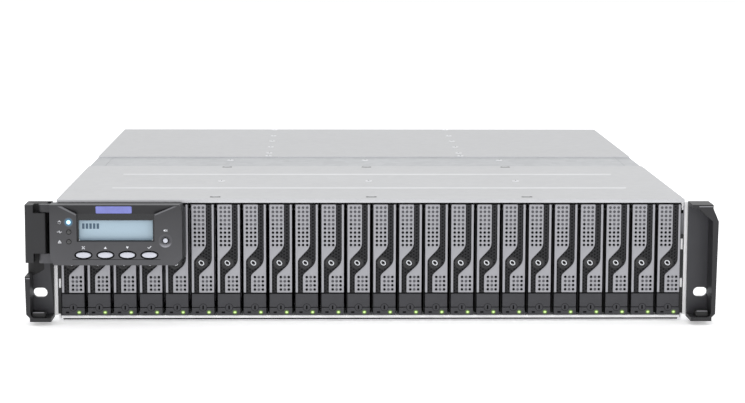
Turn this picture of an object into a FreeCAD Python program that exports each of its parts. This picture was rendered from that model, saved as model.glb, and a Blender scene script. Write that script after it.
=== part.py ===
import FreeCAD, Part
import math
import os
import re
import Sketcher
from FreeCAD import Placement, Rotation, Vector

# A two-unit rack storage array with 24 upright drive trays and a swing-out display panel.
# Millimetres. X runs to the right seen from the front, Y to the rear, Z up.
# The origin is on the underside, midway across, in the plane where the rack posts meet the ears.

SIZES = {
    # Sheet-metal chassis
    "chassis_width": 440.0,
    "chassis_height": 86.4,
    "chassis_depth": 500.0,
    "sheet_thickness": 1.2,
    "cover_ledge": 12.0,
    "lip_height": 3.4,
    "lip_depth": 2.0,
    "lip_end": 3.6,
    "lip_round": 1.0,
    # Rack flanges and the slots through them
    "flange_thickness": 1.5,
    "flange_inset": 1.0,
    "slot_offset": 12.55,
    "slot_height": 20.0,
    "slot_length": 10.0,
    "slot_width": 6.8,
    # Covers
    "cover_setback": 0.25,
    "cover_overhang": 6.0,
    "hem_drop": 2.4,
    "hem_round": 1.1,
    "front_cover_depth": 198.0,
    "rear_cover_depth": 232.0,
    "bead_length": 374.0,
    "bead_width": 5.0,
    "bead_height": 0.7,
    "bead_front": 57.0,
    "bead_rear": 140.0,
    "hook_pitch": 110.0,
    "hook_length": 8.0,
    "hook_width": 2.0,
    "hook_margin": 7.0,
    # Ears
    "ear_inset": 3.0,
    "ear_reach": 21.3,
    "ear_bottom": 2.3,
    "ear_top_drop": 2.0,
    "ear_plate": 3.0,
    "ear_depth": 18.0,
    "ear_rim": 4.0,
    "ear_ledge": 2.7,
    "ear_corner": 3.9,
    "ear_foot_cut": 3.6,
    "ear_heel": 5.2,
    "ear_lean": 1.1,
    "rim_lean": 0.5,
    "ear_shoulder": 11.7,
    "scoop_run": 10.2,
    "scoop_drop": 9.0,
    "ear_foot_round": 3.0,
    "left_rim_height": 32.0,
    "bar_inset": 5.8,
    "bar_height": 40.5,
    "bar_round": 1.5,
    "notch_width": 8.6,
    # Swing-out display panel
    "panel_overlap": 3.0,
    "panel_width": 92.8,
    "panel_height": 43.2,
    "panel_depth": 14.3,
    "panel_wall": 2.0,
    "panel_bevel": 1.5,
    "panel_foot_bevel": 1.0,
    "panel_corner": 5.0,
    "panel_corner_left": 2.5,
    "panel_brow": 4.0,
    "panel_brow_width": 2.0,
    "recess_left": 18.6,
    "recess_width": 53.7,
    "recess_drop": 6.6,
    "recess_height": 19.0,
    "recess_depth": 2.5,
    "hood_margin": 7.7,
    "hood_margin_right": 4.5,
    "window_frame": 1.2,
    "window_width": 51.3,
    "window_drop": 11.0,
    "window_height": 14.2,
    "display_thickness": 3.6,
    "board_thickness": 1.6,
    "key_count": 4,
    "key_first": 23.1,
    "key_pitch": 15.2,
    "key_drop": 35.0,
    "key_half_width": 5.2,
    "key_half_height": 2.0,
    "key_proud": 1.2,
    "key_clearance": 0.6,
    "key_travel": 1.0,
    "mute_left": 79.8,
    "mute_drop": 25.0,
    "mute_radius": 1.7,
    "mute_dish_radius": 3.5,
    "mute_dish_depth": 1.0,
    "lamp_count": 3,
    "lamp_left": 13.2,
    "lamp_drop": 12.0,
    "lamp_pitch": 6.8,
    "lamp_width": 1.8,
    # Panel hinge
    "hinge_offset": 5.5,
    "hinge_setback": 4.7,
    "arm_radius": 2.5,
    "arm_top_height": 5.4,
    "arm_bottom_height": 6.8,
    "arm_lift": 2.1,
    "pin_radius": 1.2,
    "pin_inset": 0.6,
    "pin_clearance": 0.05,
    "gap": 0.4,
    # Drive bays and trays
    "bay_count": 24,
    "covered_bay_count": 5,
    "bay_side_play": 0.4,
    "bay_floor": 3.9,
    "bay_headroom": 3.4,
    "tray_play": 0.3,
    "tray_gap": 1.0,
    "tray_length": 153.0,
    "rail_height": 3.5,
    "side_plate": 0.8,
    "bezel_gap": 2.5,
    "bezel_reach": 6.0,
    "frame_depth": 5.2,
    "frame_border": 1.6,
    "frame_foot": 16.8,
    "frame_head": 6.5,
    "strip_height": 5.3,
    "cheek_height": 3.9,
    "cheek_inset": 0.5,
    "cheek_clearance": 0.1,
    "drive_thickness": 15.0,
    "drive_headroom": 1.65,
    "drive_length": 100.2,
    "drive_setback": 28.0,
    "adapter_height": 40.0,
    "adapter_bottom": 18.0,
    # Hinged tray handle with its two trims and the S-shaped channel between them
    "lever_thickness": 1.8,
    "lever_play": 1.3,
    "trim_thickness": 1.2,
    "grip_height": 9.5,
    "grip_setback": 0.2,
    "trim_gap": 0.9,
    "pivot_drop": 1.6,
    "pivot_radius": 0.85,
    "pivot_sweep": 60.0,
    "channel_width": 4.0,
    "channel_low_width": 3.5,
    "strip_left": 1.65,
    "strip_right": 1.55,
    "bend_left_high": 30.2,
    "bend_left_low": 39.3,
    "bend_right_high": 41.6,
    "bend_right_low": 49.9,
    "bend_round_wide": 8.0,
    "bend_round_tight": 3.5,
    # Guides, midplane and rear bays
    "guide_length": 150.0,
    "guide_setback": 5.5,
    "rib_width": 0.5,
    "rib_height": 1.3,
    "midplane_setback": 181.1,
    "midplane_thickness": 2.4,
    "midplane_margin": 5.0,
    "socket_depth": 10.0,
    "socket_width": 6.0,
    "rear_socket_width": 48.0,
    "rear_socket_height": 12.0,
    "bulkhead_spacing": 159.0,
    "canister_play": 0.5,
    "canister_wall": 1.2,
    "rear_socket_depth": 11.0,
    "canister_overhang": 1.5,
    # Controller canisters
    "port_count": 4,
    "port_width": 14.2,
    "port_height": 9.4,
    "port_pitch": 17.0,
    "port_depth": 20.0,
    "port_wall": 1.0,
    "port_margin": 12.0,
    "port_floor": 12.0,
    "link_width": 17.0,
    "lan_width": 12.4,
    "lan_height": 11.4,
    "controller_board_height": 6.0,
    "heatsink_setback": 60.0,
    "heatsink_length": 60.0,
    "heatsink_height": 20.0,
    "lever_bar_length": 46.0,
    "lever_bar_height": 6.0,
    "lever_bar_depth": 5.0,
    # Power and cooling modules
    "fan_frame": 70.0,
    "fan_depth": 25.0,
    "fan_bore_radius": 33.0,
    "fan_side": 42.0,
    "hub_radius": 15.0,
    "hub_depth": 17.0,
    "blade_root": 12.0,
    "blade_reach": 29.6,
    "blade_count": 7,
    "blade_thickness": 1.4,
    "blade_chord": 14.0,
    "strut_width": 4.0,
    "guard_bar": 2.5,
    "inlet_side": 35.0,
    "inlet_floor": 22.0,
    "inlet_width": 24.2,
    "inlet_height": 16.4,
    "inlet_depth": 16.0,
    "inlet_wall": 2.0,
    "handle_length": 52.0,
    "handle_reach": 22.0,
    "handle_bar": 5.0,
    "handle_height": 10.0,
    "handle_floor": 58.0,
}

# Places worked out from the sizes above
PLACES = {
    "half_width": "chassis_width / 2",
    "front_plane": "-flange_thickness",
    "rear_plane": "chassis_depth - flange_thickness",
    "cover_under": "chassis_height - sheet_thickness",
    "ledge_under": "chassis_height - 2 * sheet_thickness",
    "cover_half": "half_width - cover_setback",
    "cover_front": "front_plane - cover_overhang",
    "front_cover_end": "front_plane + front_cover_depth",
    "rear_cover_start": "rear_plane - rear_cover_depth",
    "bead_radius": "(bead_width ^ 2 / 4 + bead_height ^ 2) / (2 * bead_height)",
    "ear_top": "chassis_height - ear_top_drop",
    "plate_front": "front_plane - ear_plate",
    "ear_front": "plate_front - ear_depth",
    "ear_outer": "half_width + ear_reach",
    "ear_inner": "half_width + ear_inset",
    "rim_inner": "ear_outer - ear_rim",
    "rim_top": "ear_bottom + left_rim_height",
    "bar_bottom": "ear_top - bar_height",
    "bar_inner": "half_width + bar_inset",
    "panel_left": "-half_width - panel_overlap",
    "panel_right": "panel_left + panel_width",
    "panel_top": "ear_top",
    "panel_bottom": "panel_top - panel_height",
    "panel_front": "ear_front",
    "panel_back": "panel_front + panel_depth",
    "cavity_front": "panel_front + recess_depth + panel_wall",
    "display_back": "cavity_front + display_thickness",
    "board_back": "display_back + board_thickness",
    "cavity_left": "panel_left + panel_wall",
    "cavity_right": "panel_right - panel_wall - panel_bevel",
    "cavity_bottom": "panel_bottom + panel_wall + panel_foot_bevel",
    "cavity_top": "panel_top - panel_wall",
    "recess_start": "panel_left + recess_left",
    "recess_end": "recess_start + recess_width",
    "recess_top": "panel_top - recess_drop",
    "recess_bottom": "recess_top - recess_height",
    "window_start": "recess_start + window_frame",
    "window_top": "panel_top - window_drop",
    "window_bottom": "window_top - window_height",
    "key_height": "panel_top - key_drop",
    "hinge_x": "panel_left - hinge_offset",
    "hinge_y": "panel_front + hinge_setback",
    "arm_floor": "panel_top - arm_top_height",
    "arm_foot": "panel_bottom + arm_lift",
    "arm_ceiling": "arm_foot + arm_bottom_height",
    "notch_end": "-bar_inner - notch_width",
    "bay_pitch": "(chassis_width - 2 * sheet_thickness - 2 * bay_side_play) / bay_count",
    "first_bay": "-bay_pitch * (bay_count - 1) / 2",
    "tray_bottom": "bay_floor + tray_play",
    "tray_top": "bay_ceiling - tray_play",
    "bay_ceiling": "chassis_height - bay_headroom",
    "tray_half": "(bay_pitch - tray_gap) / 2",
    "bezel_half": "(bay_pitch - bezel_gap) / 2",
    "trim_front": "front_plane - bezel_reach",
    "lever_front": "trim_front + trim_thickness",
    "lever_back": "lever_front + lever_thickness",
    "frame_front": "lever_back + lever_play",
    "frame_back": "frame_front + frame_depth",
    "sled_back": "frame_back + tray_length - frame_depth",
    "strip_top": "tray_bottom + strip_height",
    "lever_bottom": "strip_top + gap",
    "grip_front": "trim_front + grip_setback",
    "grip_top": "lever_bottom + grip_height",
    "trim_bottom": "grip_top + trim_gap",
    "pivot_height": "tray_top - pivot_drop",
    "pivot_depth": "(lever_front + lever_back) / 2",
    "channel_high_right": "bezel_half - strip_right",
    "channel_high_left": "channel_high_right - channel_width",
    "channel_low_left": "-bezel_half + strip_left",
    "channel_low_right": "channel_low_left + channel_low_width",
    "guide_front": "front_plane + guide_setback",
    "drive_front": "frame_back + drive_setback",
    "drive_back": "drive_front + drive_length",
    "adapter_low": "tray_bottom + adapter_bottom",
    "midplane_front": "front_plane + midplane_setback",
    "midplane_back": "midplane_front + midplane_thickness",
    "socket_front": "midplane_front - socket_depth",
    "bay_wall": "bulkhead_spacing / 2",
    "shelf_middle": "(sheet_thickness + ledge_under) / 2",
    "canister_front": "midplane_back + rear_socket_depth + gap",
    "canister_back": "rear_plane + canister_overhang",
    "fan_height": "shelf_middle",
    "fan_back": "canister_back - canister_wall",
    "fan_front": "fan_back - fan_depth",
}

doc = FreeCAD.newDocument("storage_array")
sheet = doc.addObject("Spreadsheet::Sheet", "sizes")
for row, (alias, value) in enumerate(SIZES.items(), start=1):
    sheet.set(f"A{row}", alias)
    sheet.set(f"B{row}", str(value))
    sheet.setAlias(f"B{row}", alias)
doc.recompute()

# How near an edge must lie to a spot to be the one meant
ON_SPOT = 0.01

AXES = {"x": Vector(1, 0, 0), "y": Vector(0, 1, 0), "z": Vector(0, 0, 1)}


def bound(text):
    """Write a formula over named sizes and places as an expression on the sheet's cells."""
    def swap(match):
        word = match.group(0)
        return f"({bound(PLACES[word])})" if word in PLACES else f"sizes.{word}"
    return re.sub(r"[a-z_]+", swap, str(text))


def value_of(text):
    return float(sheet.evalExpression(bound(text)))


def count_of(text):
    return round(value_of(text))


def bind(item, **formulas):
    for name, text in formulas.items():
        item.setExpression(name, bound(text))


def place(item, x="0", y="0", z="0"):
    for axis, text in zip("xyz", (x, y, z)):
        item.setExpression(f"Placement.Base.{axis}", bound(text))


def block(name, x, y, z):
    """A box from three (low, high) pairs of formulas."""
    box = doc.addObject("Part::Box", name)
    spans = [f"({high}) - ({low})" for low, high in (x, y, z)]
    bind(box, Length=spans[0], Width=spans[1], Height=spans[2])
    place(box, x[0], y[0], z[0])
    return box


def about(middle, width):
    """A (low, high) pair of formulas either side of a middle."""
    return f"({middle}) - ({width}) / 2", f"({middle}) + ({width}) / 2"


def rod(name, axis, start, radius, length):
    """A cylinder that begins at start and runs along an axis."""
    cylinder = doc.addObject("Part::Cylinder", name)
    bind(cylinder, Radius=radius, Height=length)
    cylinder.Placement = Placement(Vector(), Rotation(AXES["z"], AXES[axis]))
    place(cylinder, *start)
    return cylinder


def oval(name, centre, start, length, half_width, half_height):
    """An elliptical prism that begins at start and runs to the rear."""
    ellipse = doc.addObject("Part::Ellipse", name + "_ellipse")
    bind(ellipse, MajorRadius=half_width, MinorRadius=half_height)
    ellipse.Placement = Placement(Vector(), Rotation(AXES["x"], 90))
    place(ellipse, centre[0], start, centre[1])
    prism = doc.addObject("Part::Extrusion", name)
    prism.Base = ellipse
    prism.DirMode = "Custom"
    prism.Dir = AXES["y"]
    prism.Solid = True
    bind(prism, LengthFwd=length)
    return prism


def fuse(name, *pieces):
    joined = doc.addObject("Part::MultiFuse", name)
    joined.Shapes = list(pieces)
    return joined


def group(name, *pieces):
    """Separate solids kept in one node."""
    kept = doc.addObject("Part::Compound", name)
    kept.Links = list(pieces)
    return kept


def cut(name, base, *tools):
    difference = doc.addObject("Part::Cut", name)
    difference.Base = base
    difference.Tool = tools[0] if len(tools) == 1 else fuse(name + "_cutters", *tools)
    return difference


def new_body(name):
    return doc.addObject("PartDesign::Body", name)


def sketch_on(body, name, role, offset):
    """An empty sketch on one of the body's origin planes, shifted along the plane's normal."""
    sketch = body.newObject("Sketcher::SketchObject", name)
    plane = next(item for item in body.Origin.OriginFeatures if item.Role == role)
    sketch.AttachmentSupport = [(plane, "")]
    sketch.MapMode = "FlatFace"
    sketch.setExpression("AttachmentOffset.Base.z", bound(offset))
    return sketch


def draw_outline(sketch, points):
    """A closed outline of straight lines whose corners are tied to the sheet."""
    corners = [Vector(value_of(across), value_of(up), 0) for across, up in points]
    count = len(corners)
    for index, corner in enumerate(corners):
        sketch.addGeometry(Part.LineSegment(corner, corners[(index + 1) % count]))
    for index in range(count):
        sketch.addConstraint(Sketcher.Constraint("Coincident", index, 2, (index + 1) % count, 1))
    for index, formulas in enumerate(points):
        for axis, text in zip("XY", formulas):
            rule = Sketcher.Constraint("Distance" + axis, -1, 1, index, 1, value_of(text))
            number = sketch.addConstraint(rule)
            title = f"{axis.lower()}_{index}"
            sketch.renameConstraint(number, title)
            sketch.setExpression(f"Constraints.{title}", bound(text))


def pad(body, name, role, points, start, end):
    """Extrude an outline from start to end along the plane's own world axis."""
    facing_front = role == "XZ_Plane"
    sketch = sketch_on(body, name + "_outline", role, f"-({start})" if facing_front else start)
    draw_outline(sketch, points)
    return finish_pad(body, name, sketch, f"({end}) - ({start})", facing_front)


def finish_pad(body, name, sketch, length, backwards):
    feature = body.newObject("PartDesign::Pad", name)
    feature.Profile = sketch
    feature.Reversed = backwards
    bind(feature, Length=length)
    body.Tip = feature
    return feature


def pocket(body, name, role, points, start, end):
    """Cut an outline out of the body from start to end along the plane's own world axis."""
    facing_front = role == "XZ_Plane"
    sketch = sketch_on(body, name + "_outline", role, f"-({start})" if facing_front else start)
    draw_outline(sketch, points)
    feature = body.newObject("PartDesign::Pocket", name)
    feature.Profile = sketch
    feature.Reversed = not facing_front
    bind(feature, Length=f"({end}) - ({start})")
    body.Tip = feature
    return feature


def rectangle(left, right, low, high):
    return [(left, low), (right, low), (right, high), (left, high)]


def round_edges(body, name, radius, axis, *spots):
    """Round the body's straight edges that run along an axis through the given spots."""
    doc.recompute()
    base = body.Tip
    wanted = [[value_of(text) for text in spot] for spot in spots]
    others = [letter for letter in "xyz" if letter != axis]
    chosen = []
    for index, edge in enumerate(base.Shape.Edges, start=1):
        direction = (edge.lastVertex().Point - edge.firstVertex().Point).normalize()
        if direction.cross(AXES[axis]).Length > ON_SPOT:
            continue
        here = [getattr(edge.CenterOfMass, letter) for letter in others]
        if any(max(abs(a - b) for a, b in zip(here, spot)) < ON_SPOT for spot in wanted):
            chosen.append(f"Edge{index}")
    feature = body.newObject("PartDesign::Fillet", name)
    feature.Base = (base, chosen)
    bind(feature, Radius=radius)
    body.Tip = feature
    return feature


def slot_cutter(name, side):
    """The oblong rack slot, cut right through ear and flange. side is -1 or 1."""
    middle = f"{side} * (half_width + slot_offset)"
    half_run = "(slot_length - slot_width) / 2"
    front, back = "ear_front", "flange_thickness"
    bar = block(name + "_bar", (f"{middle} - {half_run}", f"{middle} + {half_run}"), (front, back),
                ("slot_height - slot_width / 2", "slot_height + slot_width / 2"))
    ends = []
    for sign in (-1, 1):
        spot = (f"{middle} + {sign} * {half_run}", front, "slot_height")
        ends.append(rod(f"{name}_end_{sign + 1}", "y", spot, "slot_width / 2", f"{back} - {front}"))
    return fuse(name, bar, *ends)


def ear_edge(inset="0"):
    """The ear's outer edge from its foot to its top, as (reach from the chassis side, height)."""
    return [
        (f"ear_reach - ear_foot_cut - {inset}", f"ear_bottom + {inset}"),
        (f"ear_reach - ear_foot_cut - {inset}", f"ear_bottom + ear_ledge + {inset}"),
        (f"ear_reach - ear_lean - {inset}", f"ear_bottom + ear_heel + {inset}"),
        (f"ear_reach - {inset}", f"ear_top - ear_shoulder - {inset}"),
        (f"ear_reach - ear_corner - {inset}", f"ear_top - ear_ledge - {inset}"),
        (f"ear_reach - ear_corner - {inset}", f"ear_top - {inset}"),
    ]


def chassis_base():
    """Folded tray of the chassis with cover ledges, a front lip and the two slotted rack flanges."""
    body = new_body("chassis_shell")
    inner = "(half_width - sheet_thickness)"
    ledge = "(half_width - cover_ledge)"
    half = [("half_width", "0"), ("half_width", "cover_under"), (ledge, "cover_under"),
            (ledge, "ledge_under"), (inner, "ledge_under"), (inner, "sheet_thickness")]
    section = half + [(f"-{across}", up) for across, up in reversed(half)]
    pad(body, "shell_fold", "XZ_Plane", section, "front_plane", "rear_plane")
    lip = "(half_width - lip_end)"
    lip_points = [(f"-{lip}", "0"), (lip, "0"), (lip, "lip_height - lip_depth"),
                  (f"{lip} - lip_depth", "lip_height"), (f"-{lip} + lip_depth", "lip_height"),
                  (f"-{lip}", "lip_height - lip_depth")]
    pad(body, "floor_lip", "XZ_Plane", lip_points, "front_plane - lip_depth", "front_plane")
    round_edges(body, "floor_lip_round", "lip_round", "x", ("front_plane - lip_depth", "0"))
    for side, title in ((-1, "left"), (1, "right")):
        edge = ear_edge("flange_inset")
        points = [(inner, edge[0][1])] + [(f"half_width + {a}", b) for a, b in edge] + [(inner, edge[-1][1])]
        if side < 0:
            points = [(f"-({across})", up) for across, up in points]
        pad(body, f"{title}_flange", "XZ_Plane", points, "front_plane", "0")
    slots = [slot_cutter("left_flange_slot", -1), slot_cutter("right_flange_slot", 1)]
    return cut("chassis_base", body, *slots)


def front_top_cover():
    """Front half of the lid with a rolled front hem, two pressed beads and hook slots."""
    body = new_body("front_cover_sheet")
    section = [("cover_front", "chassis_height - hem_drop"), ("cover_front", "chassis_height"),
               ("front_cover_end", "chassis_height"), ("front_cover_end", "cover_under"),
               ("cover_front + sheet_thickness", "cover_under"),
               ("cover_front + sheet_thickness", "chassis_height - hem_drop")]
    pad(body, "front_cover_fold", "YZ_Plane", section, "-cover_half", "cover_half")
    round_edges(body, "front_cover_hem", "hem_round", "x", ("cover_front", "chassis_height"))
    beads = []
    for title in ("bead_front", "bead_rear"):
        middle = f"front_plane + {title}"
        spot = ("-bead_length / 2", middle, "chassis_height + bead_height - bead_radius")
        round_bar = rod(title + "_bar", "x", spot, "bead_radius", "bead_length")
        slab = block(title + "_slab", ("-bead_length / 2", "bead_length / 2"),
                     (f"{middle} - bead_width", f"{middle} + bead_width"),
                     ("chassis_height - sheet_thickness / 2", "chassis_height + bead_height"))
        bead = doc.addObject("Part::MultiCommon", title)
        bead.Shapes = [round_bar, slab]
        beads.append(bead)
    slots = []
    for row, middle in enumerate(("front_plane + hook_margin", "front_cover_end - hook_margin")):
        for column in (-1, 0, 1):
            across = about(f"{column} * hook_pitch", "hook_length")
            slots.append(block(f"hook_slot_{row}_{column + 1}", across, about(middle, "hook_width"),
                               ("cover_under", "chassis_height")))
    return cut("front_top_cover", fuse("front_cover_pressed", body, *beads), *slots)


def rear_top_cover():
    return block("rear_top_cover", ("-cover_half", "cover_half"), ("rear_cover_start", "rear_plane"),
                 ("cover_under", "chassis_height"))


def lower_guide():
    """A moulded floor plate with one rib between each two bays."""
    body = new_body("lower_guide")
    start, end = "guide_front", "guide_front + guide_length"
    half = "(half_width - sheet_thickness)"
    plate = rectangle(f"-{half}", half, "sheet_thickness", "bay_floor")
    pad(body, "guide_plate", "XZ_Plane", plate, start, end)
    rib_span = about("first_bay + bay_pitch / 2", "rib_width")
    rib_points = rectangle(*rib_span, "bay_floor", "bay_floor + rib_height")
    rib = pad(body, "guide_rib", "XZ_Plane", rib_points, start, end)
    doc.recompute()
    ribs = body.newObject("PartDesign::LinearPattern", "guide_ribs")
    ribs.Originals = [rib]
    along = next(item for item in body.Origin.OriginFeatures if item.Role == "X_Axis")
    ribs.Direction = (along, [""])
    bind(ribs, Length="bay_pitch * (bay_count - 2)", Occurrences="bay_count - 1")
    body.Tip = ribs
    return body


def inner_frame():
    """Bridge under the lid seam, two bulkheads, the controller shelf and both bay guides."""
    ledge = "(half_width - cover_ledge)"
    bridge = block("cover_bridge", (f"-{ledge}", ledge),
                   ("front_cover_end - cover_ledge", "rear_cover_start + cover_ledge"),
                   ("ledge_under", "cover_under"))
    pieces = [bridge]
    for side, title in ((-1, "left"), (1, "right")):
        body = new_body(title + "_bulkhead")
        step = "rear_cover_start + cover_ledge"
        points = [("midplane_back", "sheet_thickness"), ("rear_plane", "sheet_thickness"),
                  ("rear_plane", "cover_under"), (step, "cover_under"), (step, "ledge_under"),
                  ("midplane_back", "ledge_under")]
        span = about(f"{side} * bay_wall", "sheet_thickness")
        pad(body, title + "_bulkhead_plate", "YZ_Plane", points, *span)
        pieces.append(body)
    inside = "(bay_wall - sheet_thickness / 2)"
    pieces.append(block("controller_shelf", (f"-{inside}", inside), ("canister_front", "rear_plane"),
                        about("shelf_middle", "sheet_thickness")))
    pieces.append(lower_guide())
    side = "(half_width - sheet_thickness)"
    pieces.append(block("upper_guide", (f"-{side}", side), ("guide_front", "guide_front + guide_length"),
                        ("bay_ceiling", "ledge_under")))
    return group("inner_frame", *pieces)


def midplane():
    """Backplane board with one drive socket for each bay and sockets for the rear modules."""
    half = "(half_width - sheet_thickness - midplane_margin)"
    board = block("midplane_board", (f"-{half}", half), ("midplane_front", "midplane_back"),
                  ("sheet_thickness", "ledge_under"))
    pieces = [board]
    for bay in range(count_of("bay_count")):
        middle = f"first_bay + {bay} * bay_pitch"
        pieces.append(block(f"drive_socket_{bay + 1:02d}", about(middle, "socket_width"),
                            ("socket_front", "midplane_front"),
                            ("adapter_low", "adapter_low + adapter_height")))
    power_middle = "(half_width + bay_wall) / 2"
    rear = (("psu_left_socket", f"-{power_middle}", "fan_height"),
            ("psu_right_socket", power_middle, "fan_height"),
            ("controller_a_socket", "0", "(shelf_middle + ledge_under) / 2"),
            ("controller_b_socket", "0", "(shelf_middle + sheet_thickness) / 2"))
    for title, across, up in rear:
        pieces.append(block(title, about(across, "rear_socket_width"),
                            ("midplane_back", "midplane_back + rear_socket_depth"),
                            about(up, "rear_socket_height")))
    return group("midplane", *pieces)


def right_ear():
    """Moulded ear: slotted plate and a C-shaped rim, slanted inside its upper corner."""
    body = new_body("right_ear_moulding")
    outer = [(f"half_width + {across}", up) for across, up in ear_edge()]
    plate = [("ear_inner", "ear_bottom")] + outer + [("ear_inner", "ear_top")]
    pad(body, "right_ear_plate", "XZ_Plane", plate, "plate_front", "front_plane")
    inside = [("ear_inner", "ear_top"), ("ear_inner", "ear_top - ear_ledge"),
              ("rim_inner - scoop_run", "ear_top - ear_ledge"),
              ("rim_inner", "ear_top - ear_ledge - scoop_drop"), ("rim_inner", "ear_bottom + ear_ledge"),
              ("ear_inner", "ear_bottom + ear_ledge"), ("ear_inner", "ear_bottom")]
    pad(body, "right_ear_rim", "XZ_Plane", outer + inside, "ear_front", "plate_front")
    round_edges(body, "right_ear_foot", "ear_foot_round", "y", ("rim_inner", "ear_bottom + ear_ledge"))
    return cut("right_ear", body, slot_cutter("right_ear_slot", 1))


def pin_run(end):
    """Start and length of the upper or lower hinge pin, from its notch into the panel's arm."""
    if end == "top":
        return "arm_floor - gap", "gap + arm_top_height - pin_inset"
    return "arm_foot + pin_inset", "arm_bottom_height - pin_inset + gap"


def left_ear():
    """Moulded ear with a hinge bar for the panel and its two pins above a short rim."""
    body = new_body("left_ear_moulding")
    edge = ear_edge()
    bar_outer = "ear_reach - ear_lean"
    low = [(f"-half_width - ({a})", b) for a, b in edge[:3]]
    rim_end = "-ear_outer + rim_lean"
    bar_end = f"-half_width - ({bar_outer})"
    plate = [("-ear_inner", "ear_bottom")] + low + [
        (rim_end, "rim_top"), (bar_end, "ear_top"), ("-ear_inner", "ear_top")]
    pad(body, "left_ear_plate", "XZ_Plane", plate, "plate_front", "front_plane")
    rim = low + [(rim_end, "rim_top"), ("-rim_inner", "rim_top"), ("-rim_inner", "ear_bottom + ear_ledge"),
                 ("-ear_inner", "ear_bottom + ear_ledge"), ("-ear_inner", "ear_bottom")]
    pad(body, "left_ear_rim", "XZ_Plane", rim, "ear_front", "plate_front")
    bar = rectangle(bar_end, "-bar_inner", "bar_bottom", "ear_top")
    pad(body, "hinge_bar", "XZ_Plane", bar, "ear_front", "plate_front")
    round_edges(body, "left_ear_foot", "ear_foot_round", "y", ("-rim_inner", "ear_bottom + ear_ledge"))
    round_edges(body, "hinge_bar_round", "bar_round", "z",
                ("-bar_inner", "ear_front"), (bar_end, "ear_front"))
    notch_back = "hinge_y + arm_radius + gap"
    spans = (("upper_notch", "arm_floor - gap", "ear_top"),
             ("lower_notch", "bar_bottom", "arm_ceiling + gap"))
    for title, start, end in spans:
        notch = rectangle("notch_end", "-bar_inner", start, end)
        pocket(body, title, "XZ_Plane", notch, "ear_front", notch_back)
    pins = []
    for end in ("top", "bottom"):
        start, length = pin_run(end)
        pins.append(rod(f"{end}_hinge_pin", "z", ("hinge_x", "hinge_y", start), "pin_radius", length))
    moulding = cut("left_ear_body", body, slot_cutter("left_ear_slot", -1))
    return fuse("left_ear", moulding, *pins)


def panel_outline(side_inset, foot_inset):
    """The panel's eight-cornered outline, drawn in at its right side and foot."""
    right = f"panel_right - {side_inset}"
    foot = f"panel_bottom + {foot_inset}"
    return [("panel_left", "panel_top"), ("panel_left", f"{foot} + panel_corner"),
            ("panel_left + panel_corner_left", foot), (f"{right} - panel_corner", foot),
            (right, f"{foot} + panel_corner"), (right, "panel_top - panel_brow"),
            (f"{right} - panel_brow_width", "panel_top")]


def panel_key_centre(number):
    return f"panel_left + key_first + {number} * key_pitch", "key_height"


def lamp_block(name, number, room, back):
    """A square light pipe from the panel's face, or its hole with some room round it."""
    across = "panel_left + lamp_left"
    up = f"panel_top - lamp_drop - {number} * lamp_pitch"
    half = f"(lamp_width / 2 + {room})"
    return block(name, (f"{across} - {half}", f"{across} + {half}"), ("panel_front", back),
                 (f"{up} - {half}", f"{up} + {half}"))


def panel_housing():
    """Lofted front shell of the display panel with its hood, window, key holes and hinge arms."""
    body = new_body("panel_shell")
    back = sketch_on(body, "panel_back_outline", "XZ_Plane", "-(panel_back)")
    draw_outline(back, panel_outline("0", "0"))
    front = sketch_on(body, "panel_front_outline", "XZ_Plane", "-(panel_front)")
    draw_outline(front, panel_outline("panel_bevel", "panel_foot_bevel"))
    loft = body.newObject("PartDesign::AdditiveLoft", "panel_loft")
    loft.Profile = back
    loft.Sections = [front]
    loft.Ruled = True
    body.Tip = loft
    cavity = rectangle("cavity_left", "cavity_right", "cavity_bottom", "cavity_top")
    pocket(body, "panel_cavity", "XZ_Plane", cavity, "cavity_front", "panel_back")

    arms = []
    spans = (("upper_arm", "arm_floor", "panel_top"), ("lower_arm", "arm_foot", "arm_ceiling"))
    for title, low, high in spans:
        arms.append(block(title, ("hinge_x", "cavity_left"), about("hinge_y", "2 * arm_radius"), (low, high)))
        spot = ("hinge_x", "hinge_y", low)
        arms.append(rod(title + "_end", "z", spot, "arm_radius", f"({high}) - ({low})"))
    shell = fuse("panel_shell_with_arms", body, *arms)

    hood = doc.addObject("Part::Wedge", "display_hood")
    bind(hood, Xmin="recess_start", Xmax="recess_end", Ymin="recess_top", Ymax="panel_top - gap",
         Zmin="-(panel_front + recess_depth)", Zmax="-panel_front",
         X2min="panel_left + hood_margin", X2max="panel_right - panel_bevel - hood_margin_right",
         Z2min="-panel_front", Z2max="-panel_front")
    hood.Placement = FreeCAD.Placement(FreeCAD.Vector(), FreeCAD.Rotation(FreeCAD.Vector(1, 0, 0), 90))
    cutters = [hood]
    cutters.append(block("display_recess", ("recess_start", "recess_end"),
                         ("panel_front", "panel_front + recess_depth"), ("recess_bottom", "recess_top")))
    cutters.append(block("display_window", ("window_start", "window_start + window_width"),
                         ("panel_front", "cavity_front"), ("window_bottom", "window_top")))
    through = "cavity_front - panel_front"
    for number in range(count_of("key_count")):
        cutters.append(oval(f"key_hole_{number + 1}", panel_key_centre(number), "panel_front", through,
                            "key_half_width + key_clearance", "key_half_height + key_clearance"))
    mute = ("panel_left + mute_left", "panel_front", "panel_top - mute_drop")
    cutters.append(rod("mute_dish", "y", mute, "mute_dish_radius", "mute_dish_depth"))
    cutters.append(rod("mute_hole", "y", mute, "mute_radius + key_clearance", through))
    for number in range(count_of("lamp_count")):
        cutters.append(lamp_block(f"lamp_hole_{number + 1}", number, "pin_clearance", "cavity_front"))
    for end in ("top", "bottom"):
        start, length = pin_run(end)
        spot = ("hinge_x", "hinge_y", start)
        cutters.append(rod(f"{end}_arm_bore", "z", spot, "pin_radius + pin_clearance", length))
    return cut("panel_housing", shell, *cutters)


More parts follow.
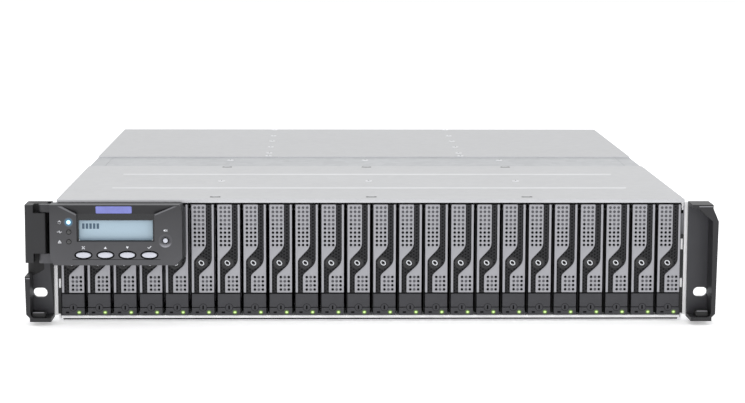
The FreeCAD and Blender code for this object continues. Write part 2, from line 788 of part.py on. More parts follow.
def panel_back_cover():
    return block("panel_back_cover", ("cavity_left + pin_clearance", "cavity_right - pin_clearance"),
                 ("panel_back - panel_wall", "panel_back"),
                 ("cavity_bottom + pin_clearance", "cavity_top - pin_clearance"))


def display_module():
    """Display cell behind the window, its circuit board and the three lamp light pipes."""
    cell = block("display_cell",
                 ("window_start - window_frame", "window_start + window_width + window_frame"),
                 ("cavity_front", "display_back"),
                 ("window_bottom - window_frame", "window_top + window_frame"))
    board = block("display_board", ("cavity_left + gap", "cavity_right - gap"),
                  ("display_back", "board_back"), ("cavity_bottom + gap", "cavity_top - gap"))
    pipes = []
    for number in range(count_of("lamp_count")):
        pipes.append(lamp_block(f"lamp_pipe_{number + 1}", number, "0", "display_back"))
    return group("display_module", cell, board, *pipes)


def key_length(travel_room):
    """A key reaches from ahead of the panel face to just clear of the board when pressed."""
    return f"display_back - panel_front - key_travel - {travel_room}"


def panel_keys():
    keys = []
    for number in range(count_of("key_count")):
        centre = panel_key_centre(number)
        keys.append(oval(f"panel_key_{number + 1}", centre, "panel_front - key_proud",
                         "key_proud + " + key_length("gap"), "key_half_width", "key_half_height"))
    spot = ("panel_left + mute_left", "panel_front", "panel_top - mute_drop")
    keys.append(rod("mute_button", "y", spot, "mute_radius", key_length("gap")))
    return keys


def tray_pieces():
    """One drive tray at the middle of its bay: moulded front frame on a sled, drive and adapter board."""
    ring = new_body("tray_frame_ring")
    outer = rectangle("-bezel_half", "bezel_half", "tray_bottom", "tray_top")
    pad(ring, "tray_frame_front", "XZ_Plane", outer, "frame_front", "frame_back")
    window = rectangle("-bezel_half + frame_border", "bezel_half - frame_border",
                       "tray_bottom + frame_foot", "tray_top - frame_head")
    pocket(ring, "tray_frame_window", "XZ_Plane", window, "frame_front", "frame_back")
    strip = block("lamp_strip", ("-bezel_half", "bezel_half"), ("grip_front", "frame_front"),
                  ("tray_bottom", "strip_top"))
    cheek_inner = "(bezel_half + cheek_clearance)"
    cheeks = [block("cheek_root", ("-tray_half", "tray_half"), ("frame_front", "frame_back"),
                    ("tray_top - cheek_height", "tray_top"))]
    for title, span in (("left", ("-tray_half", f"-{cheek_inner}")), ("right", (cheek_inner, "tray_half"))):
        cheeks.append(block(f"{title}_cheek", span, ("trim_front + cheek_inset", "frame_front"),
                            ("tray_top - cheek_height", "tray_top")))
    rails = [block("upper_rail", ("-tray_half", "tray_half"), ("frame_back", "sled_back"),
                   ("tray_top - rail_height", "tray_top")),
             block("lower_rail", ("-tray_half", "tray_half"), ("frame_back", "sled_back"),
                   ("tray_bottom", "tray_bottom + rail_height")),
             block("side_wall", ("-tray_half", "-tray_half + side_plate"), ("frame_back", "sled_back"),
                   ("tray_bottom + rail_height", "tray_top - rail_height"))]
    solid = fuse("tray_sled", ring, strip, *cheeks, *rails)
    seat = block("pivot_seat", ("-tray_half", "tray_half"),
                 ("trim_front", "pivot_depth + pivot_radius + pin_clearance"),
                 about("pivot_height", "2 * (pivot_radius + pin_clearance)"))
    frame = cut("tray_frame", solid, seat)
    drive_left = "-tray_half + side_plate"
    drive_low = "tray_bottom + rail_height"
    drive = block("disk_drive", (drive_left, f"{drive_left} + drive_thickness"),
                  ("drive_front", "drive_back"), (drive_low, "tray_top - rail_height - drive_headroom"))
    adapter = block("adapter_board", about("0", "board_thickness"), ("drive_back", "socket_front - gap"),
                    ("adapter_low", "adapter_low + adapter_height"))
    return [frame, drive, adapter]


def handle_trim(name, edge_side, high, low, bend_high, bend_low, round_high, round_low):
    """One bright trim of the handle, bounded by a straight outer edge and one side of the S-channel."""
    body = new_body(name)
    turn_high = f"tray_top - {bend_high}"
    turn_low = f"tray_top - {bend_low}"
    points = [(edge_side, "tray_top"), (high, "tray_top"), (high, turn_high), (low, turn_low),
              (low, "trim_bottom"), (edge_side, "trim_bottom")]
    pad(body, name + "_plate", "XZ_Plane", points, "trim_front", "lever_front")
    round_edges(body, name + "_upper_bend", round_high, "y", (high, turn_high))
    round_edges(body, name + "_lower_bend", round_low, "y", (low, turn_low))
    return body


def handle_pieces():
    """The tray's handle: a lever, plain and with pivot stubs, and the two trims for its face."""
    across = ("-bezel_half", "bezel_half")
    plate = block("lever_plate", across, ("lever_front", "lever_back"), ("lever_bottom", "tray_top"))
    grip = block("lever_grip", across, ("grip_front", "lever_front"), ("lever_bottom", "grip_top"))
    plain = fuse("plain_lever", plate, grip)
    stubs = []
    for title, start in (("left", "-tray_half"), ("right", "bezel_half")):
        stub = rod(f"{title}_pivot", "x", (start, "pivot_depth", "pivot_height"), "pivot_radius",
                   "tray_half - bezel_half")
        bind(stub, Angle="pivot_sweep")
        stubs.append(stub)
    lever = fuse("handle_lever", plain, *stubs)
    left = handle_trim("left_trim", "-bezel_half", "channel_high_left", "channel_low_left",
                       "bend_left_high", "bend_left_low", "bend_round_wide", "bend_round_tight")
    right = handle_trim("right_trim", "bezel_half", "channel_high_right", "channel_low_right",
                        "bend_right_high", "bend_right_low", "bend_round_wide", "bend_round_tight")
    return plain, lever, [left, right]


def trays():
    """A tray and a handle for each free bay; the bays behind the display panel share one node."""
    tray = tray_pieces()
    plain, lever, trims = handle_pieces()
    nodes = []
    behind_panel = []
    for bay in range(count_of("bay_count")):
        number = f"{bay + 1:02d}"
        middle = f"first_bay + {bay} * bay_pitch"
        covered = bay < count_of("covered_bay_count")
        handle = [plain if covered else lever] + trims
        pair = [group(f"drive_tray_{number}", *tray), group(f"tray_handle_{number}", *handle)]
        for item in pair:
            place(item, x=middle)
        if covered:
            behind_panel += pair
        else:
            nodes += pair
    return [group("trays_behind_panel", *behind_panel)] + nodes


def controller(name, low, high):
    """Controller canister: folded case, port block, board with a heatsink and two ejector bars."""
    half = "(bay_wall - sheet_thickness / 2 - canister_play)"
    case = block(name + "_outside", (f"-{half}", half), ("canister_front", "canister_back"), (low, high))
    hollow = block(name + "_inside", (f"-{half} + canister_wall", f"{half} - canister_wall"),
                   ("canister_front + canister_wall", "canister_back - canister_wall"),
                   (f"{low} + canister_wall", f"{high} - canister_wall"))
    ports = []
    left = f"-{half} + port_margin"
    floor = f"{low} + port_floor"
    for index in range(count_of("port_count")):
        start = f"{left} + {index} * port_pitch"
        ports.append((start, f"{start} + port_width", "port_height"))
    link = f"{left} + port_count * port_pitch"
    ports.append((link, f"{link} + link_width", "port_height"))
    lan = f"{link} + link_width + port_pitch - port_width"
    ports.append((lan, f"{lan} + lan_width", "lan_height"))
    mouths = []
    for index, (start, end, tall) in enumerate(ports, start=1):
        mouths.append(block(f"{name}_port_{index}", (start, end),
                            ("canister_back - port_depth", "canister_back"), (floor, f"{floor} + {tall}")))
    shell = cut(name + "_case", case, hollow, *mouths)
    board_low = f"{low} + controller_board_height"
    board_top = f"{board_low} + board_thickness"
    cage = block(name + "_cage", (f"{left} - port_wall", f"{lan} + lan_width + port_wall"),
                 ("canister_back - canister_wall - port_depth", "canister_back - canister_wall"),
                 (board_top, f"{floor} + lan_height + port_wall"))
    ports_block = cut(name + "_port_block", cage, *mouths)
    board = block(name + "_board", (f"-{half} + canister_wall", f"{half} - canister_wall"),
                  ("canister_front + canister_wall", "canister_back - canister_wall"), (board_low, board_top))
    sink_front = "canister_front + heatsink_setback"
    sink = block(name + "_heatsink", about("0", "heatsink_length"),
                 (sink_front, f"{sink_front} + heatsink_length"),
                 (board_top, f"{board_top} + heatsink_height"))
    bars = []
    for side, title in ((-1, "left"), (1, "right")):
        outer = f"{side} * ({half} - port_wall)"
        inner = f"{side} * ({half} - port_wall - lever_bar_length)"
        span = (outer, inner) if side < 0 else (inner, outer)
        bars.append(block(f"{name}_{title}_bar", span, ("canister_back", "canister_back + lever_bar_depth"),
                          (f"{low} + port_wall", f"{low} + port_wall + lever_bar_height")))
    return group(name, shell, ports_block, board, sink, *bars)


def power_module(name, left, right):
    """Power and cooling module: hollow case, fan frame with struts, mains inlet and a pull handle."""
    low, high = "sheet_thickness + canister_play", "ledge_under - canister_play"
    case = block(name + "_outside", (left, right), ("canister_front", "canister_back"), (low, high))
    hollow = block(name + "_inside", (f"{left} + canister_wall", f"{right} - canister_wall"),
                   ("canister_front + canister_wall", "canister_back - canister_wall"),
                   (f"{low} + canister_wall", f"{high} - canister_wall"))
    fan_x = f"{left} + fan_side"
    opening = about(fan_x, "2 * fan_bore_radius")
    opening_up = about("fan_height", "2 * fan_bore_radius")
    outlet = block(name + "_outlet", opening, ("fan_back", "canister_back"), opening_up)
    inlet_x = f"{right} - inlet_side"
    inlet_low = f"{low} + inlet_floor"
    mouth = block(name + "_inlet_mouth", about(inlet_x, "inlet_width"),
                  ("canister_back - inlet_depth", "canister_back"),
                  (inlet_low, f"{inlet_low} + inlet_height"))
    shell = cut(name + "_shell", case, hollow, outlet, mouth)
    skin = ("fan_back", "canister_back")
    guard = [block(name + "_guard_across", opening, skin, about("fan_height", "guard_bar")),
             block(name + "_guard_up", about(fan_x, "guard_bar"), skin, opening_up)]
    case_piece = fuse(name + "_case", shell, *guard)

    frame_box = block(name + "_fan_box", about(fan_x, "fan_frame"), ("fan_front", "fan_back"),
                      about("fan_height", "fan_frame"))
    bore = rod(name + "_fan_bore", "y", (fan_x, "fan_front", "fan_height"), "fan_bore_radius", "fan_depth")
    strut_run = ("fan_front", "fan_front + strut_width")
    struts = [block(name + "_strut_across", opening, strut_run, about("fan_height", "strut_width")),
              block(name + "_strut_up", about(fan_x, "strut_width"), strut_run, opening_up)]
    fan_frame = fuse(name + "_fan_frame", cut(name + "_fan_ring", frame_box, bore), *struts)

    inlet_box = block(name + "_inlet_box", about(inlet_x, "inlet_width + 2 * inlet_wall"),
                      ("canister_back - canister_wall - inlet_depth", "canister_back - canister_wall"),
                      (f"{inlet_low} - inlet_wall", f"{inlet_low} + inlet_height + inlet_wall"))
    inlet = cut(name + "_inlet", inlet_box, mouth)

    handle = new_body(name + "_handle")
    begin, end = about(inlet_x, "handle_length")
    grip_begin, grip_end = about(inlet_x, "handle_length - 2 * handle_bar")
    tip = "canister_back + handle_reach"
    grip_tip = f"{tip} - handle_bar"
    bow = [(begin, "canister_back"), (grip_begin, "canister_back"), (grip_begin, grip_tip),
           (grip_end, grip_tip), (grip_end, "canister_back"), (end, "canister_back"),
           (end, tip), (begin, tip)]
    pad(handle, name + "_handle_bow", "XY_Plane", bow, "handle_floor", "handle_floor + handle_height")
    round_edges(handle, name + "_handle_corners", "handle_bar", "z", (begin, tip), (end, tip))
    return group(name, case_piece, fan_frame, inlet, handle)


def fan_rotor(name, left):
    """Fan hub with a ring of pitched blades."""
    body = new_body(name)
    flats = 2 * count_of("blade_count")
    turns = [2 * math.pi * (index + 0.5) / flats for index in range(flats)]
    corners = [(f"hub_radius * {math.sin(turn):.6f}", f"hub_radius * {math.cos(turn):.6f}") for turn in turns]
    pad(body, name + "_hub", "XZ_Plane", corners, "0", "hub_depth")
    half, lean = "blade_thickness / 2", "blade_chord / 2 - blade_thickness / 2"
    near, far = "blade_thickness", "hub_depth - blade_thickness"
    section = [(f"-({lean}) - {half}", near), (f"-({lean}) + {half}", near),
               (f"{lean} + {half}", far), (f"{lean} - {half}", far)]
    blade = pad(body, name + "_blade", "XY_Plane", section, "blade_root", "blade_reach")
    doc.recompute()
    blades = body.newObject("PartDesign::PolarPattern", name + "_blades")
    blades.Originals = [blade]
    axle = next(item for item in body.Origin.OriginFeatures if item.Role == "Y_Axis")
    blades.Axis = (axle, [""])
    blades.Angle = 360
    bind(blades, Occurrences="blade_count")
    body.Tip = blades
    place(body, f"{left} + fan_side", "fan_front + strut_width + gap", "fan_height")
    return body


def build():
    side_gap = "sheet_thickness + canister_play"
    wall_gap = "bay_wall + sheet_thickness / 2 + canister_play"
    left_bay = (f"-half_width + {side_gap}", f"-({wall_gap})")
    right_bay = (wall_gap, f"half_width - ({side_gap})")
    shelf_low = "shelf_middle - sheet_thickness / 2 - canister_play"
    shelf_high = "shelf_middle + sheet_thickness / 2 + canister_play"
    nodes = [chassis_base(), front_top_cover(), rear_top_cover(), inner_frame(), midplane(),
             left_ear(), right_ear(), panel_housing(), panel_back_cover(), display_module()]
    nodes += panel_keys()
    nodes += trays()
    nodes.append(controller("controller_a", shelf_high, "ledge_under - canister_play"))
    nodes.append(controller("controller_b", "sheet_thickness + canister_play", shelf_low))
    nodes.append(power_module("power_module_left", *left_bay))
    nodes.append(power_module("power_module_right", *right_bay))
    nodes.append(fan_rotor("fan_left", left_bay[0]))
    nodes.append(fan_rotor("fan_right", right_bay[0]))
    return nodes


def write(nodes):
    doc.recompute()
    failed = [item.Label for item in doc.Objects if "Invalid" in item.State or "Error" in item.State]
    if failed:
        raise RuntimeError(f"objects that did not build: {failed}")
    for node in nodes:
        if node.Shape.isNull() or not node.Shape.isValid():
            raise RuntimeError(f"{node.Label} has no sound shape")
    os.makedirs("parts", exist_ok=True)
    for node in nodes:
        node.Shape.exportStep(f"parts/{node.Label}.step")
    print(len(nodes), "sub-parts written")


write(build())
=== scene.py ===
import bpy, bmesh, math
from mathutils import Matrix, Vector
from mathutils.bvhtree import BVHTree


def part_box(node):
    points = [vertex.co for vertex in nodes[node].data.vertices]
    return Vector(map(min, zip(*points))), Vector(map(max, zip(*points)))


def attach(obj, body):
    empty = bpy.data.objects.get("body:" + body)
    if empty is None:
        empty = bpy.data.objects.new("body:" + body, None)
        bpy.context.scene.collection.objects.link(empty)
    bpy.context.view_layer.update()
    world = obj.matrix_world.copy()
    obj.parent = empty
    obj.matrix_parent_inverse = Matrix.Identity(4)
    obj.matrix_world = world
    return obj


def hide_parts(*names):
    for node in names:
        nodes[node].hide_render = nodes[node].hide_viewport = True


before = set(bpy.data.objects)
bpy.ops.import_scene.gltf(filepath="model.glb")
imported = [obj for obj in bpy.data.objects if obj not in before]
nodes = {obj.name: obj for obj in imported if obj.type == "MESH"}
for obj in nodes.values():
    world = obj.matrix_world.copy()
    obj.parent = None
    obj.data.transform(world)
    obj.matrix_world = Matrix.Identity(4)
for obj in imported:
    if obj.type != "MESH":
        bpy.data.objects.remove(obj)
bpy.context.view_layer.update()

scene = bpy.context.scene
mm = 0.001
print("frame loaded,", len(nodes), "nodes")


# finishes

def srgb(r, g, b):
    return tuple(((c / 255 + 0.055) / 1.055) ** 2.4 if c > 10 else c / 255 / 12.92
                 for c in (r, g, b)) + (1.0,)


def shade(colour, factor):
    return tuple(min(1.0, c * factor) for c in colour[:3]) + (1.0,)


# one noise gives the colour its clouds, a finer one the grain of the surface
def finish(name, look):
    mat = bpy.data.materials.new(name)
    mat.use_nodes = True
    tree = mat.node_tree
    bsdf = tree.nodes["Principled BSDF"]
    bsdf.inputs["Metallic"].default_value = look.get("metal", 0.0)
    bsdf.inputs["Specular IOR Level"].default_value = look.get("specular", 0.5)
    bsdf.inputs["Coat Weight"].default_value = look.get("coat", 0.0)
    coord = tree.nodes.new("ShaderNodeTexCoord")
    mapping = tree.nodes.new("ShaderNodeMapping")
    mapping.inputs["Scale"].default_value = look.get("stretch", (1, 1, 1))
    tree.links.new(coord.outputs["Object"], mapping.inputs["Vector"])

    clouds = tree.nodes.new("ShaderNodeTexNoise")
    clouds.inputs["Scale"].default_value = look.get("cloudScale", 60)
    clouds.inputs["Detail"].default_value = 5
    tree.links.new(mapping.outputs["Vector"], clouds.inputs["Vector"])
    ramp = tree.nodes.new("ShaderNodeValToRGB")
    spread = look.get("spread", 0.08)
    base = srgb(*look["colour"])
    ramp.color_ramp.elements[0].position = 0.3
    ramp.color_ramp.elements[0].color = shade(base, 1 - spread)
    ramp.color_ramp.elements[1].position = 0.7
    ramp.color_ramp.elements[1].color = shade(base, 1 + spread)
    tree.links.new(clouds.outputs["Fac"], ramp.inputs["Fac"])
    colourOut = ramp.outputs["Color"]

    if "spangle" in look:      # zinc crystals
        crystals = tree.nodes.new("ShaderNodeTexVoronoi")
        crystals.inputs["Scale"].default_value = look["spangle"]
        tree.links.new(coord.outputs["Object"], crystals.inputs["Vector"])
        grey = tree.nodes.new("ShaderNodeRGBToBW")
        tree.links.new(crystals.outputs["Color"], grey.inputs["Color"])
        flakes = tree.nodes.new("ShaderNodeMix")
        flakes.data_type = "RGBA"
        flakes.blend_type = "SOFT_LIGHT"
        flakes.inputs["Factor"].default_value = look.get("spangleAmount", 0.12)
        tree.links.new(colourOut, flakes.inputs["A"])
        tree.links.new(grey.outputs["Val"], flakes.inputs["B"])
        colourOut = flakes.outputs["Result"]
    if "fade" in look:         # lighter or darker towards the top
        low, high, bottom, top = look["fade"]
        split = tree.nodes.new("ShaderNodeSeparateXYZ")
        tree.links.new(coord.outputs["Object"], split.inputs["Vector"])
        height = tree.nodes.new("ShaderNodeMapRange")
        height.inputs["From Min"].default_value = low * mm
        height.inputs["From Max"].default_value = high * mm
        height.inputs["To Min"].default_value = bottom
        height.inputs["To Max"].default_value = top
        tree.links.new(split.outputs["Z"], height.inputs["Value"])
        faded = tree.nodes.new("ShaderNodeVectorMath")
        faded.operation = "SCALE"
        tree.links.new(colourOut, faded.inputs[0])
        tree.links.new(height.outputs["Result"], faded.inputs["Scale"])
        colourOut = faded.outputs["Vector"]
    tree.links.new(colourOut, bsdf.inputs["Base Color"])

    grain = tree.nodes.new("ShaderNodeTexNoise")
    grain.inputs["Scale"].default_value = look.get("grainScale", 1800)
    grain.inputs["Detail"].default_value = 3
    tree.links.new(mapping.outputs["Vector"], grain.inputs["Vector"])
    gloss = tree.nodes.new("ShaderNodeMapRange")
    gloss.inputs["To Min"].default_value = look["rough"] - look.get("roughSpread", 0.06)
    gloss.inputs["To Max"].default_value = look["rough"] + look.get("roughSpread", 0.06)
    tree.links.new(clouds.outputs["Fac"], gloss.inputs["Value"])
    tree.links.new(gloss.outputs["Result"], bsdf.inputs["Roughness"])
    bump = tree.nodes.new("ShaderNodeBump")
    bump.inputs["Strength"].default_value = look.get("grain", 0.12)
    bump.inputs["Distance"].default_value = look.get("grainDepth", 0.00008)
    tree.links.new(grain.outputs["Fac"], bump.inputs["Height"])
    tree.links.new(bump.outputs["Normal"], bsdf.inputs["Normal"])

    if "glow" in look:
        bsdf.inputs["Emission Color"].default_value = srgb(*look["glow"])
        bsdf.inputs["Emission Strength"].default_value = look["glowStrength"]
    return mat


looks = {
    "zincLid": dict(colour=(194, 195, 197), rough=0.42, metal=0.55, cloudScale=14, spread=0.03,
                    spangle=180, spangleAmount=0.06, grainScale=900, grain=0.06),
    # painted highlight: front faces of the beads and the rear lid's step drawn lighter than the lid
    "zincBeadHighlight": dict(colour=(217, 218, 220), rough=0.4, metal=0.3, cloudScale=14, spread=0.03,
                     spangle=180, spangleAmount=0.05, grainScale=900, grain=0.06),
    "zincRear": dict(colour=(188, 189, 191), rough=0.42, metal=0.55, cloudScale=14, spread=0.03,
                     spangle=180, spangleAmount=0.06, grainScale=900, grain=0.06),
    # painted highlight: the lid's front hem drawn lighter and less metallic than the lid
    "zincHemHighlight": dict(colour=(196, 197, 200), rough=0.45, metal=0.2, cloudScale=20, spread=0.03,
                    spangle=200, spangleAmount=0.05, grainScale=900, grain=0.06),
    "zincInside": dict(colour=(184, 186, 189), rough=0.45, metal=0.6, cloudScale=18, spread=0.06,
                       spangle=150, spangleAmount=0.16, grainScale=800, grain=0.08),
    # painted highlight: the zinc of the lip, flange fronts and spring tongues drawn near white, with a faint
    # glow
    "zincPaintedHighlight": dict(colour=(250, 250, 252), rough=0.5, metal=0.05, cloudScale=30, spread=0.03,
                      spangle=240, spangleAmount=0.04, glow=(255, 255, 255), glowStrength=0.1),
    # painted shade: this zinc is drawn darker towards the bottom
    "zincGreyShadedLow": dict(colour=(126, 127, 131), rough=0.45, metal=0.4, cloudScale=30, spread=0.06,
                     spangle=240, spangleAmount=0.08, fade=(60, 84, 0.55, 1.3)),
    "zincShade": dict(colour=(60, 60, 63), rough=0.5, metal=0.3, cloudScale=30, spread=0.08, spangle=240),
    "earPlastic": dict(colour=(40, 40, 42), rough=0.45, specular=0.35, cloudScale=50, spread=0.1,
                       grainScale=2600, grain=0.3),
    "earPlate": dict(colour=(59, 59, 63), rough=0.42, specular=0.4, cloudScale=50, spread=0.1,
                     grainScale=2600, grain=0.3),
    # painted highlight: thin bright strips along ear edges
    "earPaintedHighlight": dict(colour=(150, 150, 155), rough=0.35, cloudScale=50, spread=0.08,
                    grainScale=2600, grain=0.2),
    # painted shade: dark patches for the shadowed hollows of the ears
    "earPaintedShade": dict(colour=(17, 17, 18), rough=0.6, cloudScale=50, spread=0.12,
                    grainScale=2600, grain=0.3),
    # painted shade: the panel plastic is drawn darker towards the top
    "panelPlasticShadedAbove": dict(colour=(72, 72, 75), rough=0.42, specular=0.35, cloudScale=45, spread=0.07,
                         grainScale=2600, grain=0.28, fade=(43, 84, 1.15, 0.6)),
    # painted light: the panel's upward faces get their own tone for the light from above
    "panelTopPaintedLight": dict(colour=(66, 67, 71), rough=0.42, specular=0.4, cloudScale=45, spread=0.06,
                     grainScale=2600, grain=0.28),
    # painted shade: side faces, hood and recess walls of the panel drawn dark
    "panelPaintedShade": dict(colour=(37, 37, 39), rough=0.4, specular=0.35, cloudScale=55, spread=0.1,
                     grainScale=2400, grain=0.22),
    # painted highlight: light bands along the hood's sloping edges
    "hoodPaintedHighlight": dict(colour=(100, 100, 104), rough=0.34, cloudScale=55, spread=0.08,
                     grainScale=2400, grain=0.2),
    # painted shade and highlight: darker at the top, a light crescent at the bottom
    "dishPaintedShadeAndHighlight": dict(colour=(82, 82, 86), rough=0.36, cloudScale=55, spread=0.06,
                      grainScale=2400, grain=0.2, fade=(55.0, 58.0, 3.4, 0.75)),
    # painted shadow: dark strip where the lid hem overhangs the panel
    "gapShadow": dict(colour=(30, 30, 32), rough=0.8, specular=0.2, cloudScale=200, spread=0.2,
                 grainScale=3500, grain=0.5),
    "windowDark": dict(colour=(24, 25, 28), rough=0.25, cloudScale=70, spread=0.12,
                       grainScale=2000, grain=0.1),
    "traySilver": dict(colour=(158, 158, 163), rough=0.36, metal=0.45, cloudScale=120, spread=0.035,
                       grainScale=3800, grain=0.16),
    # painted highlight: pale sheet seen through some holes of the trims
    "holeWallHighlight": dict(colour=(98, 98, 103), rough=0.5, metal=0.3, cloudScale=150, spread=0.1,
                     grainScale=3000, grain=0.2),
    # painted shade: the channel is drawn darker towards the bottom and lighter towards the top
    "channelGreyShadedLow": dict(colour=(27, 27, 30), rough=0.45, metal=0.1, cloudScale=150, spread=0.12,
                        grainScale=3000, grain=0.2, specular=0.35, fade=(20, 82, 0.75, 1.5)),
    "gripGrey": dict(colour=(55, 55, 59), rough=0.38, specular=0.38, cloudScale=130, spread=0.08,
                     grainScale=2800, grain=0.25),
    "leverBlack": dict(colour=(15, 15, 17), rough=0.65, specular=0.2, cloudScale=130, spread=0.15,
                       grainScale=2600, grain=0.2),
    "frameBlack": dict(colour=(27, 27, 29), rough=0.5, cloudScale=110, spread=0.12,
                       grainScale=2600, grain=0.25),
    "bossBlack": dict(colour=(24, 24, 26), rough=0.24, cloudScale=160, spread=0.12,
                      grainScale=2600, grain=0.08),
    "ringBright": dict(colour=(214, 216, 220), rough=0.22, metal=0.75, cloudScale=300, spread=0.04,
                       grain=0.04),
    "lampGreen": dict(colour=(150, 190, 90), rough=0.3, cloudScale=400, spread=0.1, grain=0.03,
                      glow=(140, 185, 70), glowStrength=0.3),
    "lampPale": dict(colour=(215, 235, 170), rough=0.3, cloudScale=400, spread=0.06, grain=0.03,
                     glow=(215, 240, 160), glowStrength=0.25),
    "lampDark": dict(colour=(18, 19, 21), rough=0.1, coat=1.0, cloudScale=400, spread=0.15, grain=0.03),
    "lampBlue": dict(colour=(190, 225, 245), rough=0.2, cloudScale=400, spread=0.05, grain=0.03,
                     glow=(170, 225, 250), glowStrength=1.0),
    "keyWhite": dict(colour=(197, 199, 209), rough=0.18, coat=0.5, cloudScale=200, spread=0.03, grain=0.03),
    "signWhite": dict(colour=(225, 227, 232), rough=0.45, cloudScale=400, spread=0.05, grain=0.05),
    "badgeBlue": dict(colour=(116, 122, 196), rough=0.22, coat=0.4, cloudScale=250, spread=0.1, grain=0.05),
    "lcdInk": dict(colour=(60, 84, 104), rough=0.25, cloudScale=900, spread=0.12, grain=0.02),
    "screwPale": dict(colour=(236, 237, 240), rough=0.35, metal=0.2, cloudScale=300, spread=0.05,
                      grainScale=2600, grain=0.08),
    "screwSteel": dict(colour=(192, 194, 198), rough=0.28, metal=0.85, cloudScale=300, spread=0.08,
                       grainScale=2600, grain=0.1),
    "slotDark": dict(colour=(14, 14, 15), rough=0.9, specular=0.05, cloudScale=300, spread=0.2, grain=0.1),
    "driveMetal": dict(colour=(150, 152, 156), rough=0.38, metal=0.8, cloudScale=60, spread=0.06,
                       stretch=(1, 0.06, 1), grainScale=1500, grain=0.12),
    "caseSteel": dict(colour=(168, 170, 174), rough=0.4, metal=0.75, cloudScale=40, spread=0.06,
                      spangle=170, spangleAmount=0.1, grainScale=1100, grain=0.08),
    "rearPlate": dict(colour=(140, 142, 147), rough=0.38, metal=0.7, cloudScale=60, spread=0.05,
                      stretch=(0.05, 1, 1), grainScale=1600, grain=0.12),
    "portMetal": dict(colour=(200, 200, 203), rough=0.25, metal=0.9, cloudScale=200, spread=0.05, grain=0.05),
    "contactGold": dict(colour=(205, 168, 92), rough=0.28, metal=0.9, cloudScale=300, spread=0.08,
                        grain=0.04),
    "boardGreen": dict(colour=(34, 92, 58), rough=0.35, cloudScale=260, spread=0.25,
                       spangle=420, spangleAmount=0.25, grainScale=900, grain=0.2),
    "fanBlack": dict(colour=(30, 30, 32), rough=0.42, cloudScale=90, spread=0.12,
                     grainScale=2400, grain=0.22),
}
paint = {name: finish(name, look) for name, look in looks.items()}


# the display: pale cell with a fine dot grid and a darker lower edge
lcd = dict(rough=0.18, glow=0.06, edgeZ=(59.3, 62.5), edgeColour=(150, 171, 186), cellColour=(166, 186, 199),
           dotScale=1800, gap=0.04, dotTints=((1, 1, 1, 1), (0.97, 0.98, 1, 1)), gapTint=(0.86, 0.9, 0.92, 1))


def lcdFinish():
    mat = bpy.data.materials.new("lcdPale")
    mat.use_nodes = True
    tree = mat.node_tree
    bsdf = tree.nodes["Principled BSDF"]
    bsdf.inputs["Roughness"].default_value = lcd["rough"]
    bsdf.inputs["Emission Strength"].default_value = lcd["glow"]
    coord = tree.nodes.new("ShaderNodeTexCoord")
    split = tree.nodes.new("ShaderNodeSeparateXYZ")
    tree.links.new(coord.outputs["Object"], split.inputs["Vector"])
    height = tree.nodes.new("ShaderNodeMapRange")
    height.inputs["From Min"].default_value = lcd["edgeZ"][0] * mm
    height.inputs["From Max"].default_value = lcd["edgeZ"][1] * mm
    tree.links.new(split.outputs["Z"], height.inputs["Value"])
    ramp = tree.nodes.new("ShaderNodeValToRGB")
    ramp.color_ramp.elements[0].color = srgb(*lcd["edgeColour"])
    ramp.color_ramp.elements[1].color = srgb(*lcd["cellColour"])
    tree.links.new(height.outputs["Result"], ramp.inputs["Fac"])
    dots = tree.nodes.new("ShaderNodeTexBrick")
    dots.offset = 0.0
    dots.inputs["Scale"].default_value = lcd["dotScale"]
    dots.inputs["Mortar Size"].default_value = lcd["gap"]
    dots.inputs["Color1"].default_value, dots.inputs["Color2"].default_value = lcd["dotTints"]
    dots.inputs["Mortar"].default_value = lcd["gapTint"]
    flatCoord = tree.nodes.new("ShaderNodeCombineXYZ")
    tree.links.new(split.outputs["X"], flatCoord.inputs["X"])
    tree.links.new(split.outputs["Z"], flatCoord.inputs["Y"])
    tree.links.new(flatCoord.outputs["Vector"], dots.inputs["Vector"])
    both = tree.nodes.new("ShaderNodeMix")
    both.data_type = "RGBA"
    both.blend_type = "MULTIPLY"
    both.inputs["Factor"].default_value = 1.0
    tree.links.new(ramp.outputs["Color"], both.inputs["A"])
    tree.links.new(dots.outputs["Color"], both.inputs["B"])
    tree.links.new(both.outputs["Result"], bsdf.inputs["Base Color"])
    tree.links.new(both.outputs["Result"], bsdf.inputs["Emission Color"])
    return mat


# glow around a lamp: colour runs from the inner to the outer radius
halos = dict(haloGreen=dict(x=4.1, z=6.3, inner=1.2, outer=1.9, near=(74, 98, 44), far=(60, 60, 64)),
             haloBlue=dict(x=-209.9, z=72.4, inner=1.6, outer=3.5, near=(62, 112, 142), far=(70, 70, 74)))


